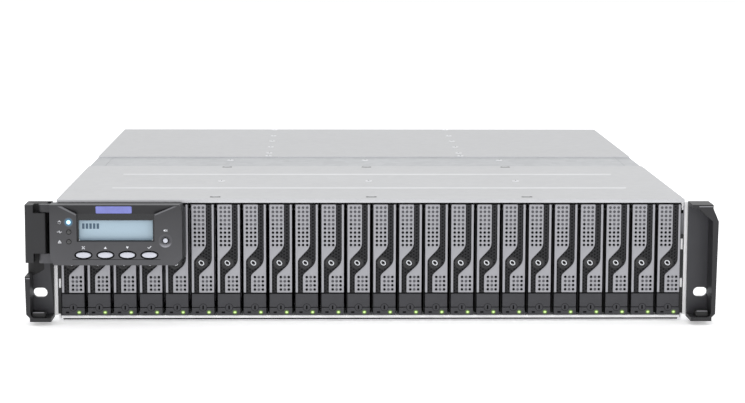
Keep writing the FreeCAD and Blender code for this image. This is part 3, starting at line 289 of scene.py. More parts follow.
def haloFinish(name, x, z, inner, outer, near, far):
    mat = finish(name, dict(colour=far, rough=0.36, cloudScale=130, spread=0.06, grainScale=2800, grain=0.2))
    tree = mat.node_tree
    bsdf = tree.nodes["Principled BSDF"]
    plain = bsdf.inputs["Base Color"].links[0].from_socket
    coord = tree.nodes.new("ShaderNodeTexCoord")
    flat = tree.nodes.new("ShaderNodeVectorMath")
    flat.operation = "MULTIPLY"
    flat.inputs[1].default_value = (1, 0, 1)
    tree.links.new(coord.outputs["Object"], flat.inputs[0])
    distance = tree.nodes.new("ShaderNodeVectorMath")
    distance.operation = "DISTANCE"
    distance.inputs[1].default_value = (x * mm, 0, z * mm)
    tree.links.new(flat.outputs["Vector"], distance.inputs[0])
    share = tree.nodes.new("ShaderNodeMapRange")
    share.interpolation_type = "SMOOTHSTEP"
    share.inputs["From Min"].default_value = inner * mm
    share.inputs["From Max"].default_value = outer * mm
    tree.links.new(distance.outputs["Value"], share.inputs["Value"])
    blend = tree.nodes.new("ShaderNodeMix")
    blend.data_type = "RGBA"
    blend.inputs["A"].default_value = srgb(*near)
    tree.links.new(share.outputs["Result"], blend.inputs["Factor"])
    tree.links.new(plain, blend.inputs["B"])
    tree.links.new(blend.outputs["Result"], bsdf.inputs["Base Color"])
    return mat


paint["lcdPale"] = lcdFinish()
for name, halo in halos.items():
    paint[name] = haloFinish(name, **halo)
print("finishes made,", len(paint))


# mesh tools, all in mm

# turns for shapes made along Z
axisTurn = {"Z": Matrix(), "Y": Matrix.Rotation(math.pi / 2, 4, "X"),
            "X": Matrix.Rotation(math.pi / 2, 4, "Y")}


def takeMesh(bm):
    mesh = bpy.data.meshes.new("shape")
    bm.to_mesh(mesh)
    bm.free()
    return mesh


def roundedBox(low, high, edge=0.3, steps=2):
    bm = bmesh.new()
    bmesh.ops.create_cube(bm, size=1)
    for v in bm.verts:
        v.co = Vector([(low[i] + high[i]) / 2 + v.co[i] * (high[i] - low[i]) for i in range(3)])
    if edge:
        bmesh.ops.bevel(bm, geom=bm.edges[:], offset=edge, segments=steps, profile=0.5, affect="EDGES")
    return takeMesh(bm)


# turns a profile of (radius, along) pairs about the Y, X or Z axis through centre
def turned(profile, centre, axis="Y", steps=24, stretch=(1, 1), ring=False):
    bm = bmesh.new()
    rings = []
    turns = [2 * math.pi * i / steps for i in range(steps)]
    for radius, along in profile:
        if radius < 1e-6:
            rings.append([bm.verts.new((0, 0, along))])
        else:
            rings.append([bm.verts.new((radius * math.cos(a) * stretch[0],
                                        radius * math.sin(a) * stretch[1], along)) for a in turns])
    for a, b in zip(rings, rings[1:] + (rings[:1] if ring else [])):
        for i in range(steps):
            corner = [a[i % len(a)], a[(i + 1) % len(a)], b[(i + 1) % len(b)], b[i % len(b)]]
            corner = list(dict.fromkeys(corner))
            if len(corner) > 2:
                bm.faces.new(corner)
    for end in (rings[0], rings[-1]):
        if len(end) > 1 and not ring:
            bm.faces.new(end)
    bmesh.ops.recalc_face_normals(bm, faces=bm.faces[:])
    bm.transform(Matrix.Translation(centre) @ axisTurn[axis])
    return takeMesh(bm)


# a ring of round wire about the Y axis, its two radii may differ
def hoop(radiusA, radiusB, wire, centre, steps, around=8, tilt=0.0):
    bm = bmesh.new()
    rings = []
    for i in range(steps):
        a = 2 * math.pi * i / steps
        out = Vector((math.cos(a) * radiusA, math.sin(a) * radiusB, 0))
        side = Vector((math.cos(a) * radiusB, math.sin(a) * radiusA, 0)).normalized()
        rings.append([bm.verts.new(out + side * wire * math.cos(b) + Vector((0, 0, wire * math.sin(b))))
                      for b in (2 * math.pi * j / around for j in range(around))])
    for i in range(steps):
        for j in range(around):
            bm.faces.new((rings[i][j], rings[i][(j + 1) % around],
                          rings[(i + 1) % steps][(j + 1) % around], rings[(i + 1) % steps][j]))
    bmesh.ops.recalc_face_normals(bm, faces=bm.faces[:])
    bm.transform(Matrix.Rotation(tilt, 4, "Z"))
    bm.transform(Matrix.Translation(centre) @ axisTurn["Y"])
    return takeMesh(bm)


def circlePoints(x, z, radius, steps=12):
    turns = [2 * math.pi * i / steps for i in range(steps)]
    return [(x + radius * math.cos(a), z + radius * math.sin(a)) for a in turns]


# corner list of (x, z, radius) to a closed line with arcs at the corners
def roundPath(corners, steps=5):
    path = []
    count = len(corners)
    for i, (x, z, radius) in enumerate(corners):
        if radius <= 0:
            path.append((x, z))
            continue
        here = Vector((x, z))
        before = Vector(corners[i - 1][:2]) - here
        after = Vector(corners[(i + 1) % count][:2]) - here
        angle = before.angle(after)
        reach = radius / math.tan(angle / 2)
        start = here + before.normalized() * reach
        end = here + after.normalized() * reach
        inward = (before.normalized() + after.normalized()).normalized()
        centre = here + inward * radius / math.sin(angle / 2)
        first = math.atan2(start.y - centre.y, start.x - centre.x)
        sweep = math.atan2(end.y - centre.y, end.x - centre.x) - first
        sweep = (sweep + math.pi) % (2 * math.pi) - math.pi
        path += [(centre.x + radius * math.cos(first + sweep * k / steps),
                  centre.y + radius * math.sin(first + sweep * k / steps)) for k in range(steps + 1)]
    return path


def boxLine(x0, z0, x1, z1, corner, steps=3):
    return roundPath([(x0, z0, corner), (x1, z0, corner), (x1, z1, corner), (x0, z1, corner)], steps)


# true where a point lies inside a closed line by at least the given distance
def insideBy(point, line, distance):
    px, pz = point
    inside = False
    nearest = math.inf
    for (ax, az), (bx, bz) in zip(line, line[1:] + line[:1]):
        if (az > pz) != (bz > pz) and px < (bx - ax) * (pz - az) / (bz - az) + ax:
            inside = not inside
        along = Vector((bx - ax, bz - az))
        share = ((px - ax) * along.x + (pz - az) * along.y) / max(along.length_squared, 1e-9)
        share = max(0, min(1, share))
        nearest = min(nearest, math.hypot(px - ax - share * along.x, pz - az - share * along.y))
    return inside and nearest >= distance


# plate in the XZ plane between two Y values, with holes and a soft front edge
def cutPlate(outline, holes, front, back, edge=0.15, roundness=1):
    curve = bpy.data.curves.new("plateLine", "CURVE")
    curve.dimensions = "2D"
    curve.fill_mode = "BOTH"
    curve.bevel_depth = edge
    curve.bevel_resolution = roundness
    curve.offset = -edge
    curve.extrude = (back - front) / 2 - edge
    for line in [outline] + list(holes):
        spline = curve.splines.new("POLY")
        spline.points.add(len(line) - 1)
        for point, (x, z) in zip(spline.points, line):
            point.co = (x, z, 0, 1)
        spline.use_cyclic_u = True
    carrier = bpy.data.objects.new("plateLine", curve)
    scene.collection.objects.link(carrier)
    mesh = bpy.data.meshes.new_from_object(carrier.evaluated_get(bpy.context.evaluated_depsgraph_get()))
    bpy.data.objects.remove(carrier)
    bpy.data.curves.remove(curve)
    mesh.transform(Matrix.Translation((0, (front + back) / 2, 0)) @ axisTurn["Y"])
    return mesh


# the same with sharp edges and no holes
def flatPlate(outline, front, back):
    return cutPlate(outline, [], front, back, 0.0, 0)


# thin plate on a face, a little proud of it
def onFace(outline, face, proud=0.05, sunk=0.1):
    return flatPlate(outline, face - proud, face + sunk)


def moved(mesh, x=0, y=0, z=0, turn=None):
    copy = mesh.copy()
    copy.transform(Matrix.Translation((x, y, z)) @ (turn or Matrix()))
    return copy


# joins (mesh, finish) pairs given in mm into one mesh in metres
def joinMeshes(name, parts, sharp=38):
    mesh = bpy.data.meshes.new(name)
    used = list(dict.fromkeys(finishName for _, finishName in parts))
    bm = bmesh.new()
    for shape, finishName in parts:
        start = len(bm.faces)
        bm.from_mesh(shape)
        bm.faces.ensure_lookup_table()
        for face in bm.faces[start:]:
            face.material_index = used.index(finishName)
            face.smooth = True
    bmesh.ops.remove_doubles(bm, verts=bm.verts[:], dist=1e-5)
    bm.transform(Matrix.Scale(mm, 4))
    bm.to_mesh(mesh)
    bm.free()
    for finishName in used:
        mesh.materials.append(paint[finishName])
    mesh.set_sharp_from_angle(angle=math.radians(sharp))
    return mesh


def putPiece(name, mesh, body, x=0.0, replacing=()):
    piece = bpy.data.objects.new(name, mesh)
    scene.collection.objects.link(piece)
    piece.location = (x * mm, 0, 0)
    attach(piece, body)
    if replacing:
        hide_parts(*replacing)


softEdge = dict(weld=1e-6, fromAngle=32)      # weld in metres, angle in degrees


# finishes of a kept CAD solid, chosen face by face, with softened edges
def dress(nodeName, finishes, choose=None, edge=0.0, steps=2):
    solid = nodes[nodeName]
    mesh = solid.data
    mesh.materials.clear()
    for finishName in finishes:
        mesh.materials.append(paint[finishName])
    for face in mesh.polygons:
        pick = choose(face.center / mm, face.normal) if choose else finishes[0]
        face.material_index = finishes.index(pick)
    if edge:
        weld = solid.modifiers.new("joinedEdges", "WELD")
        weld.merge_threshold = softEdge["weld"]
        soft = solid.modifiers.new("softEdges", "BEVEL")
        soft.width = edge * mm
        soft.segments = steps
        soft.limit_method = "ANGLE"
        soft.angle_limit = math.radians(softEdge["fromAngle"])
        soft.harden_normals = False


# Y of a solid's front face at (x, z)
def faceAt(nodeName, x, z, fromY=-60):
    mesh = nodes[nodeName].data
    corners = [v.co / mm for v in mesh.vertices]
    tree = BVHTree.FromPolygons(corners, [tuple(p.vertices) for p in mesh.polygons])
    return tree.ray_cast(Vector((x, fromY, z)), Vector((0, 1, 0)))[0].y


# chassis, lids and what is inside

lid = dict(screwX=79.5, screwRows=(268.8, 291.5, 339.5, 388.5, 436.0, 491.5), top=86.4,
           headRadius=2.6, headHeight=0.6, columns=(-110, 0, 110), noseScrewY=97.0,
           bandTop=85.2, bandScrewY=247.5, hemEnd=-6, beadLow=86.5,
           hookRows=(5.5, 189.5), hookShadowZ=(85.3, 86.48), hookHalf=(3.6, 1.5),
           tongueHalf=2.2, tongueY=(1.6, 3.0), tongueZ=(-0.4, 0.1))
wall = dict(x=220, lipBack=3, screwY=(60, 170, 280, 390, 480), screwZ=(22, 64),
            headRadius=3.0, headHeight=0.9)
board = dict(front=179.5, back=182.1)


def screwMesh(radius, height, finishName="screwSteel"):
    dome = [(radius, 0), (radius, height * 0.35), (radius * 0.86, height * 0.75),
            (radius * 0.5, height), (0, height)]
    reach, thin = radius * 0.6, radius * 0.1      # the two bars of the cross
    low, high = height * 0.9, height * 1.02
    return [(turned(dome, (0, 0, 0), "Z", 20), finishName),
            (roundedBox((-reach, -thin, low), (reach, thin, high), 0), "slotDark"),
            (roundedBox((-thin, -reach, low), (thin, reach, high), 0), "slotDark")]


def chassisFinish(c, n):
    if c.y > wall["lipBack"] or abs(c.x) > wall["x"] and n.y > -0.5:      # flanges are bare behind
        return "zincInside"
    # painted shade on the undersides, painted highlight on the front faces
    return "zincShade" if n.z < -0.9 else "zincPaintedHighlight"


def frontCoverFinish(c, n):
    if c.y < lid["hemEnd"]:
        # painted highlight on the front hem
        return "zincHemHighlight"
    # painted highlight on the front faces of the beads
    return "zincBeadHighlight" if c.z > lid["beadLow"] and n.y < -0.02 else "zincLid"


def rearCoverFinish(c, n):
    # painted highlight on the front step face
    return "zincBeadHighlight" if n.y < -0.5 else "zincRear"


def midplaneFinish(c, n):
    return "boardGreen" if board["front"] < c.y < board["back"] else "leverBlack"


def chassisPieces():
    dress("chassis_base", ["zincInside", "zincPaintedHighlight", "zincShade"], chassisFinish, 0.25, 1)
    dress("front_top_cover", ["zincLid", "zincHemHighlight", "zincBeadHighlight"], frontCoverFinish, 0.35)
    dress("rear_top_cover", ["zincRear", "zincBeadHighlight"], rearCoverFinish, 0.12)
    dress("inner_frame", ["zincInside"], None, 0.2, 1)
    dress("midplane", ["boardGreen", "leverBlack"], midplaneFinish)
    spots = [(way * lid["screwX"], y, lid["top"]) for way in (-1, 1) for y in lid["screwRows"]]
    spots += [(x, lid["noseScrewY"], lid["top"]) for x in lid["columns"]]
    spots += [(x, lid["bandScrewY"], lid["bandTop"]) for x in lid["columns"]]
    head = screwMesh(lid["headRadius"], lid["headHeight"], "screwPale")
    parts = [(moved(shape, *spot), paintName) for spot in spots for shape, paintName in head]

    # painted shadow as a dark floor in each hook slot, and a painted highlight on its tongue
    low, high = lid["hookShadowZ"]
    halfX, halfY = lid["hookHalf"]
    wide = lid["tongueHalf"]
    (y0, y1), (z0, z1) = lid["tongueY"], lid["tongueZ"]
    for x in lid["columns"]:
        for y in lid["hookRows"]:
            floor = roundedBox((x - halfX, y - halfY, low), (x + halfX, y + halfY, high), 0.02, 1)
            tongue = roundedBox((x - wide, y + y0, high + z0), (x + wide, y + y1, high + z1), 0.15, 1)
            parts += [(floor, "slotDark"), (tongue, "screwPale")]

    side = screwMesh(wall["headRadius"], wall["headHeight"])
    for way in (-1, 1):
        toSide = Matrix.Rotation(way * math.pi / 2, 4, "Y")
        parts += [(moved(shape, way * wall["x"], y, z, toSide), paintName)
                  for y in wall["screwY"] for z in wall["screwZ"] for shape, paintName in side]
    putPiece("lidScrews", joinMeshes("lidScrews", parts), "chassis")


# seals beside the outer bays: the dark lower strip is painted shade in the gap, the grey upper strip is
# painted darker towards the bottom, and the bright spring tongues are painted highlights
seal = dict(inner=218.0, outer=220.5, front=-2.2, back=-1.45, low=4.5, turn=61.0, high=83.6,
            tongues=((50.1, 57.8), (23.1, 29.6), (78.3, 83.4)), tongueX=(218.1, 219.7), tongueProud=0.5,
            notch=(75.7, 78.1), notchProud=0.2,
            lipFront=-3.5, lipHalf=218.2, lipShadow=(0.55, 1.6), lipTop=3.38, shadowShort=1.4)


def sealStrip(way, inner, outer, low, high, proud=0.0, edge=0.15):
    ends = sorted((way * inner, way * outer))
    return roundedBox((ends[0], seal["front"] - proud, low), (ends[1], seal["back"], high), edge, 1)


def sealPieces():
    s = seal
    parts = []
    for way in (-1, 1):
        parts.append((sealStrip(way, s["inner"], s["outer"], s["low"], s["turn"]), "frameBlack"))
        parts.append((sealStrip(way, s["inner"], s["outer"], s["turn"], s["high"]), "zincGreyShadedLow"))
        parts.append((sealStrip(way, *s["tongueX"], *s["notch"], s["notchProud"], 0.1), "slotDark"))
        parts += [(sealStrip(way, *s["tongueX"], low, high, s["tongueProud"], 0.2), "zincPaintedHighlight")
                  for low, high in s["tongues"]]

    # white hem of the front lip, a painted highlight, and a dark strip of painted shadow under it
    half, front, short = s["lipHalf"], s["lipFront"], s["shadowShort"]
    low, high = s["lipShadow"]
    hem = roundedBox((-half, front - 0.1, high), (half, front + 0.3, s["lipTop"]), 0.08, 1)
    gap = roundedBox((-half + short, front - 0.06, low), (half - short, front + 0.4, high), 0.05, 1)
    parts += [(hem, "zincPaintedHighlight"), (gap, "leverBlack")]
    putPiece("baySeals", joinMeshes("baySeals", parts), "chassis")


chassisPieces()
sealPieces()
print("chassis and lids dressed")


# ears

ear = dict(hollow=((-240.0, 32.6, 0.5), (-236.6, 32.6, 1.5), (-232.4, 34.6, 1.5), (-229.6, 36.4, 1.5),
                   (-229.6, 43.0, 0.3), (-240.0, 43.0, 0.3)), hollowY=(-4.62, -4.45),
           pocket=(-235.5, -21.8, 41), plateFront=-8,
           steps=((-236.4, -227.4, 8.6), (227.0, 235.6, 9.2)), stepFront=-20.5, stepBack=-10.0, stepLow=4.9,
           edges=dict(left_ear=((-240.1, 32.9), (-237.3, 33.0)), right_ear=((227.4, 83.1), (236.9, 83.2))),
           edgeHeight=0.45, edgeProud=0.08, edgeSunk=0.3)


# thin painted highlight from point to point along an edge on the front of an ear
def edgeBar(nodeName, start, end):
    half = ear["edgeHeight"] / 2
    bm = bmesh.new()
    rows = []
    for x, z in (start, end):
        face = faceAt(nodeName, x, z)
        front, back = face - ear["edgeProud"], face + ear["edgeSunk"]
        rows.append([bm.verts.new((x, y, z + dz))
                     for y, dz in ((front, -half), (front, half), (back, half), (back, -half))])
    for i in range(4):
        bm.faces.new((rows[0][i], rows[0][(i + 1) % 4], rows[1][(i + 1) % 4], rows[1][i]))
    bm.faces.new(rows[0])
    bm.faces.new(rows[1])
    bmesh.ops.recalc_face_normals(bm, faces=bm.faces[:])
    return takeMesh(bm)


def earFinish(c, n):
    x, y, z = ear["pocket"]
    if x < c.x < 0 and c.y > y and c.z > z:      # pocket of the hinge, drawn dark as painted shade
        return "earPaintedShade"
    return "earPlate" if c.y > ear["plateFront"] and n.y < -0.5 else "earPlastic"


def earPieces():
    for nodeName in ("left_ear", "right_ear"):
        dress(nodeName, ["earPlastic", "earPlate", "earPaintedShade"], earFinish, 0.5)
    # patch of painted shade under the hinge bar
    parts = [(cutPlate(roundPath(ear["hollow"]), [], *ear["hollowY"], 0.05, 1), "earPaintedShade")]
    front, back, low = ear["stepFront"], ear["stepBack"], ear["stepLow"]
    for x0, x1, high in ear["steps"]:        # finger step on the foot in painted shade, with a painted highlight along its upper edge
        step = roundedBox((x0, front, low), (x1, back, high), 0.5)
        glint = roundedBox((x0 + 0.6, front + 0.1, high - 0.35), (x1 - 0.6, front + 1.2, high + 0.06), 0.12)
        parts += [(step, "earPaintedShade"), (glint, "earPaintedHighlight")]
    parts += [(edgeBar(nodeName, *ends), "earPaintedHighlight") for nodeName, ends in ear["edges"].items()]
    putPiece("earTrim", joinMeshes("earTrim", parts), "chassis")


earPieces()
print("ears dressed")


# drive trays and their handles

tray = dict(pitch=18.2, firstBay=-209.3, firstFree=6, lastBay=24, halfWidth=7.85, top=82.7, trimBottom=20.3,
            leverBottom=9.9, gripTop=19.4, trimFront=-7.5, leverFront=-6.3, leverBack=-4.5, gripFront=-7.3,
            channelHigh=(2.3, 6.3), channelLow=(-6.2, -2.7), bendLeft=(52.5, 43.4), bendRight=(41.1, 32.8),
            wideRound=8.0, tightRound=3.5, cornerRound=0.6, footRound=0.4,
            holeRadius=0.92, upperHoles=(-5.4, 2.87, 3, 80.5, 2.94, 10),
            lowerHoles=(0.0, 2.78, 3, 31.3, 2.95, 4),
            holeHighlights=(((-7.0, 70.2), (-3.97, 70.2), (-3.97, 64.33), (-1.1, 64.33), (-1.1, 67.27),
                        (1.75, 67.27), (1.75, 82.0), (-7.0, 82.0)),
                       ((1.39, 21.0), (4.17, 21.0), (4.17, 32.8), (1.39, 32.8), (1.39, 29.8), (-1.3, 29.8),
                        (-1.3, 26.9), (1.39, 26.9))),
            plateUnder=1.2, plateRound=2, plateShort=0.4,
            dotRadius=0.72, dotRim=0.12, dotColumn=1.94, dotColumns=(-7, 3), dotRow=2.33, dotRows=30,
            dotTop=80.9, pivotY=-5.4, pivotZ=81.1, stubRadius=0.8, stubLong=0.6)


def holeGrid(firstX, stepX, countX, firstZ, stepZ, countZ, radius):
    return [circlePoints(firstX + stepX * i, firstZ - stepZ * j, radius)
            for i in range(countX) for j in range(countZ)]


# two bright trims with their perforations, and a pale sheet behind some of the holes as a painted highlight
# for the lit hole walls
def trimParts():
    t = tray
    half, low, high = t["halfWidth"], t["trimBottom"], t["top"]
    corner, foot = t["cornerRound"], t["footRound"]
    highLeft, highRight = t["channelHigh"]
    lowLeft, lowRight = t["channelLow"]
    leftTrim = roundPath([(-half, low, foot), (lowLeft, low, 0.3),
                          (lowLeft, t["bendLeft"][1], t["tightRound"]),
                          (highLeft, t["bendLeft"][0], t["wideRound"]),
                          (highLeft, high, corner), (-half, high, corner)])
    rightTrim = roundPath([(lowRight, low, foot), (half, low, foot),
                           (half, high, corner), (highRight, high, foot),
                           (highRight, t["bendRight"][0], t["wideRound"]),
                           (lowRight, t["bendRight"][1], t["tightRound"])])
    upper = holeGrid(*t["upperHoles"], t["holeRadius"])
    lower = holeGrid(*t["lowerHoles"], t["holeRadius"])
    front, back = t["trimFront"], t["leverFront"]
    parts = [(cutPlate(line, holes, front, back, 0.28, 2), "traySilver")
             for line, holes in ((leftTrim, upper), (rightTrim, lower))]
    return parts + [(flatPlate(corners, back - 0.35, back + 0.1), "holeWallHighlight") for corners in t["holeHighlights"]]


# perforated plate at the bottom of the channel, its edges under the trims
def channelParts():
    t = tray
    highLeft, highRight = t["channelHigh"]
    lowLeft, lowRight = t["channelLow"]
    under, bend, low, high = t["plateUnder"], t["plateRound"], t["trimBottom"], t["top"] - t["plateShort"]
    plate = roundPath([(lowLeft - under, low, 0), (lowRight + under, low, 0),
                       (lowRight + under, t["bendRight"][1] - under, bend),
                       (highRight + under, t["bendRight"][0] - under, bend),
                       (highRight + under, high, 0), (highLeft - under, high, 0),
                       (highLeft - under, t["bendLeft"][0] + under, bend),
                       (lowLeft - under, t["bendLeft"][1] + under, bend)])
    dots = []
    for column in range(*t["dotColumns"]):
        for row in range(t["dotRows"]):
            x = (highLeft + highRight) / 2 + column * t["dotColumn"]
            z = t["dotTop"] - row * t["dotRow"] - (t["dotRow"] / 2 if column % 2 else 0)
            if insideBy((x, z), plate, t["dotRadius"] + t["dotRim"]):
                dots.append(circlePoints(x, z, t["dotRadius"], 8))
    return [(cutPlate(plate, dots, t["leverFront"] - 0.45, t["leverFront"] + 0.05, 0.04, 0), "channelGreyShadedLow")]


# lever behind it with its pivot stubs, and the grip block
def leverParts():
    t = tray
    half, low, high = t["halfWidth"], t["leverBottom"], t["gripTop"]
    radius, reach = t["stubRadius"], t["stubLong"]
    parts = [(roundedBox((-half, t["leverFront"], low), (half, t["leverBack"], t["top"])), "leverBlack")]
    for x in (-half - reach, half):
        stub = [(0, 0), (radius, 0), (radius, reach), (0, reach)]
        parts.append((turned(stub, (x, t["pivotY"], t["pivotZ"]), "X", 14), "leverBlack"))
    grip = roundPath([(-half, low, 0.5), (half, low, 0.5), (half, high, 0.7), (-half, high, 0.7)])
    parts.append((cutPlate(grip, [], t["gripFront"], t["leverFront"] + 0.1, 0.35, 2), "gripGrey"))
    return parts


# release button: dished boss with a bright tilted ring
button = dict(place=(-1.0, 41.4), ring=(1.8, 1.35, 0.4), ringY=-7.02, ringTilt=-42,
              boss=((4.3, 6.3), (4.3, 6.8), (4.0, 7.05), (3.5, 7.1), (3.1, 6.95), (2.0, 6.9), (0, 6.9)),
              eye=((1, 6.9), (0.9, 7.1), (0, 7.15)), eyeStretch=(1.1, 0.4))


def buttonParts():
    x, z = button["place"]
    ring = hoop(*button["ring"], (x, button["ringY"], z), 28, 8, math.radians(button["ringTilt"]))
    return [(turned(button["boss"], (x, 0, z), "Y", 28), "bossBlack"), (ring, "ringBright"),
            (turned(button["eye"], (x, 0, z), "Y", 16, button["eyeStretch"]), "slotDark")]


# slotted rotary lock in a dark gap
lock = dict(place=(0.0, 9.7), gap=2.75, gapY=(-7.33, -7.3), radius=2.5, discY=(-7.48, -7.31),
            slotHalf=(0.5, 1.4), slotRound=0.45)


def lockParts():
    x, z = lock["place"]
    halfX, halfZ = lock["slotHalf"]
    slot = boxLine(x - halfX, z - halfZ, x + halfX, z + halfZ, lock["slotRound"])
    return [(flatPlate(circlePoints(x, z, lock["gap"], 24), *lock["gapY"]), "slotDark"),
            (cutPlate(circlePoints(x, z, lock["radius"], 24), [slot], *lock["discY"], 0.05, 0), "gripGrey")]


# lit lamp with its halo, and a dark one
bayLamp = dict(haloRadius=1.9, haloY=(-7.33, -7.2), stretch=(1.2, 0.95),
               lens=((1, 7.28), (0.92, 7.4), (0.6, 7.46), (0, 7.48)),
               core=((0.66, 7.42), (0.55, 7.5), (0.28, 7.54), (0, 7.55)),
               darkLow=(-5.2, -7.38, 5.65), darkHigh=(-2.9, -7.2, 6.85))


def lampParts():
    b = bayLamp
    x, z = halos["haloGreen"]["x"], halos["haloGreen"]["z"]
    return [(flatPlate(circlePoints(x, z, b["haloRadius"], 24), *b["haloY"]), "haloGreen"),
            (turned(b["lens"], (x, 0, z), "Y", 18, b["stretch"]), "lampGreen"),
            (turned(b["core"], (x, 0, z), "Y", 16, b["stretch"]), "lampPale"),
            (roundedBox(b["darkLow"], b["darkHigh"], 0.1), "slotDark")]


sled = dict(stripBack=-3.3, stripTop=9.7, frameBack=2.2, adapterFront=149.9, driveLow=9)


def trayFinish(c, n):
    if c.y < sled["stripBack"] and c.z < sled["stripTop"]:
        return "gripGrey"
    if c.y < sled["frameBack"]:
        return "frameBlack"
    if c.y > sled["adapterFront"]:
        return "boardGreen"
    return "driveMetal" if c.z > sled["driveLow"] and abs(n.x) < 0.7 else "frameBlack"


def trayPieces():
    handle = trimParts() + channelParts() + leverParts() + buttonParts() + lockParts()
    handleMesh = joinMeshes("trayHandle", handle)
    lampMesh = joinMeshes("trayLamps", lampParts())
    trayFinishes = ["frameBlack", "gripGrey", "driveMetal", "boardGreen"]
    pitch, free = tray["pitch"], tray["firstFree"]
    for bay in range(free, tray["lastBay"] + 1):
        x = tray["firstBay"] + pitch * (bay - 1)
        dress("drive_tray_%02d" % bay, trayFinishes, trayFinish, 0.2, 1)
        putPiece("trayHandle_%02d" % bay, handleMesh, "handle_%02d" % bay, x,
                 ["tray_handle_%02d" % bay])
        putPiece("trayLamps_%02d" % bay, lampMesh, "tray_%02d" % bay, x)

    # the five behind the panel are copies of the first free one
    for bay in range(1, free):
        x = tray["firstBay"] + pitch * (bay - 1)
        copy = nodes["drive_tray_%02d" % free].data.copy()
        copy.name = "trayBehindPanel"
        putPiece("trayBehindPanel_%02d" % bay, copy, "chassis", pitch * (bay - free),
                 ["trays_behind_panel"])
        putPiece("handleBehindPanel_%02d" % bay, handleMesh, "chassis", x)
        putPiece("lampsBehindPanel_%02d" % bay, lampMesh, "chassis", x)


trayPieces()
print("24 trays dressed")


# display panel with its keys

housing = dict(topLow=83, right=-132.5, left=-221, faceY=(-22.4, -19), hoodX=(-216, -136), hoodLow=77.5,
               windowX=(-205, -150), windowZ=(58, 78), windowY=(-22.4, -17.5))


def within(value, ends):
    return ends[0] < value < ends[1]


def panelFinish(c, n):
    h = housing
    if n.z > 0.75 and c.z > h["topLow"]:
        return "panelTopPaintedLight"
    # painted shade on the side faces, the arms, the hood and the window recess walls
    if c.x > h["right"] and n.x > 0.3 or c.x < h["left"] and n.y > -0.5:
        return "panelPaintedShade"
    if within(c.x, h["hoodX"]) and c.z > h["hoodLow"] and within(c.y, h["faceY"]):
        return "hoodPaintedHighlight" if abs(n.x) > 0.3 else "panelPaintedShade"
    if within(c.x, h["windowX"]) and within(c.z, h["windowZ"]) and within(c.y, h["windowY"]):
        return "windowDark" if n.y < -0.9 else "panelPaintedShade"
    return "panelPlasticShadedAbove"


keys = dict(count=4, dome=0.9, muteDome=0.5, sharp=60, rimGap=0.75, rimWire=0.32, rimReach=1.2,
            dishReach=4.2, collarRadius=4.7, collarHole=3.4,
            dish=((3.45, -0.03), (3.1, -0.4), (2.7, -0.75), (2.4, -0.85), (2.4, -0.98), (3.45, -0.98)))


def keyParts(nodeName, dome):
    low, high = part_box(nodeName)
    low, high = Vector(low) / mm, Vector(high) / mm
    middle = (low + high) / 2
    halfX, halfZ = (high.x - low.x) / 2, (high.z - low.z) / 2
    front, back = -low.y, -high.y
    profile = [(0, back), (1, back), (1, front - dome), (0.94, front - dome * 0.55),
               (0.75, front - dome * 0.22), (0.4, front - 0.05), (0, front)]
    return turned(profile, (middle.x, 0, middle.z), "Y", 36, (halfX, halfZ)), middle, halfX, halfZ


def keyPieces():
    k = keys
    rims = []
    for number in range(1, k["count"] + 1):
        name = "panel_key_%d" % number
        key, middle, halfX, halfZ = keyParts(name, k["dome"])
        mesh = joinMeshes("panelKey", [(key, "keyWhite")], k["sharp"])
        putPiece("panelKey_%d" % number, mesh, "key_%d" % number, 0, [name])
        face = faceAt("panel_housing", middle.x, middle.z + halfZ + k["rimReach"])
        rims.append((hoop(halfX + k["rimGap"], halfZ + k["rimGap"], k["rimWire"],
                          (middle.x, face, middle.z), 40), "slotDark"))
    key, middle, halfX, halfZ = keyParts("mute_button", k["muteDome"])
    mesh = joinMeshes("muteKey", [(key, "keyWhite")], k["sharp"])
    putPiece("muteKey", mesh, "mute", 0, ["mute_button"])

    # dished surround of the mute button, painted darker at the top as shade and lighter at the bottom as a
    # highlight
    face = faceAt("panel_housing", middle.x, middle.z + k["dishReach"])
    bowl = [(radius, -face + along) for radius, along in k["dish"]]
    rims.append((turned(bowl, (middle.x, 0, middle.z), "Y", 40, (1, 1), True), "dishPaintedShadeAndHighlight"))
    outer, inner = (circlePoints(middle.x, middle.z, k[name], 40) for name in ("collarRadius", "collarHole"))
    rims.append((cutPlate(outer, [inner], face - 0.04, face + 0.1, 0.0, 0), "dishPaintedShadeAndHighlight"))
    putPiece("keyRims", joinMeshes("keyRims", rims), "panel")


# plain printed signs, as line width and lines about the middle of each
signs = dict(cross=(0.42, (((-0.8, -0.8), (0.8, 0.8)), ((-0.8, 0.8), (0.8, -0.8)))),
             tick=(0.42, (((-1.0, 0.1), (-0.3, -0.7), (1.1, 0.9)),)),
             bar=(0.36, (((0, 0.2), (0, 1.1)),)),
             pulse=(0.34, (((-1.5, 0), (-0.6, 0), (-0.2, 0.9), (0.3, -0.9), (0.7, 0), (1.5, 0)),)),
             warning=(0.34, (((-1.1, -0.9), (1.1, -0.9), (0, 1.0), (-1.1, -0.9)), ((0, -0.35), (0, 0.2)))),
             silent=(0.32, (((0.7, -0.5), (1.4, 0.5)), ((0.7, 0.5), (1.4, -0.5)))))
signPlace = dict(row=54.6, crossX=-199.9, tickX=-154.3, iconX=-216.2, arrows=((-184.7, 1), (-169.5, -1)),
                 arrowHalf=(1.0, 0.8), horn=(-143.2, 66.6), arcRadius=0.95, arcWidth=0.36, arcDrop=0.1,
                 arcTurns=[math.radians(40 + 28 * i) for i in range(11)],
                 hornLine=((-1.2, -0.4), (-0.6, -0.4), (0.1, -1.0), (0.1, 1.0), (-0.6, 0.4), (-1.2, 0.4)))


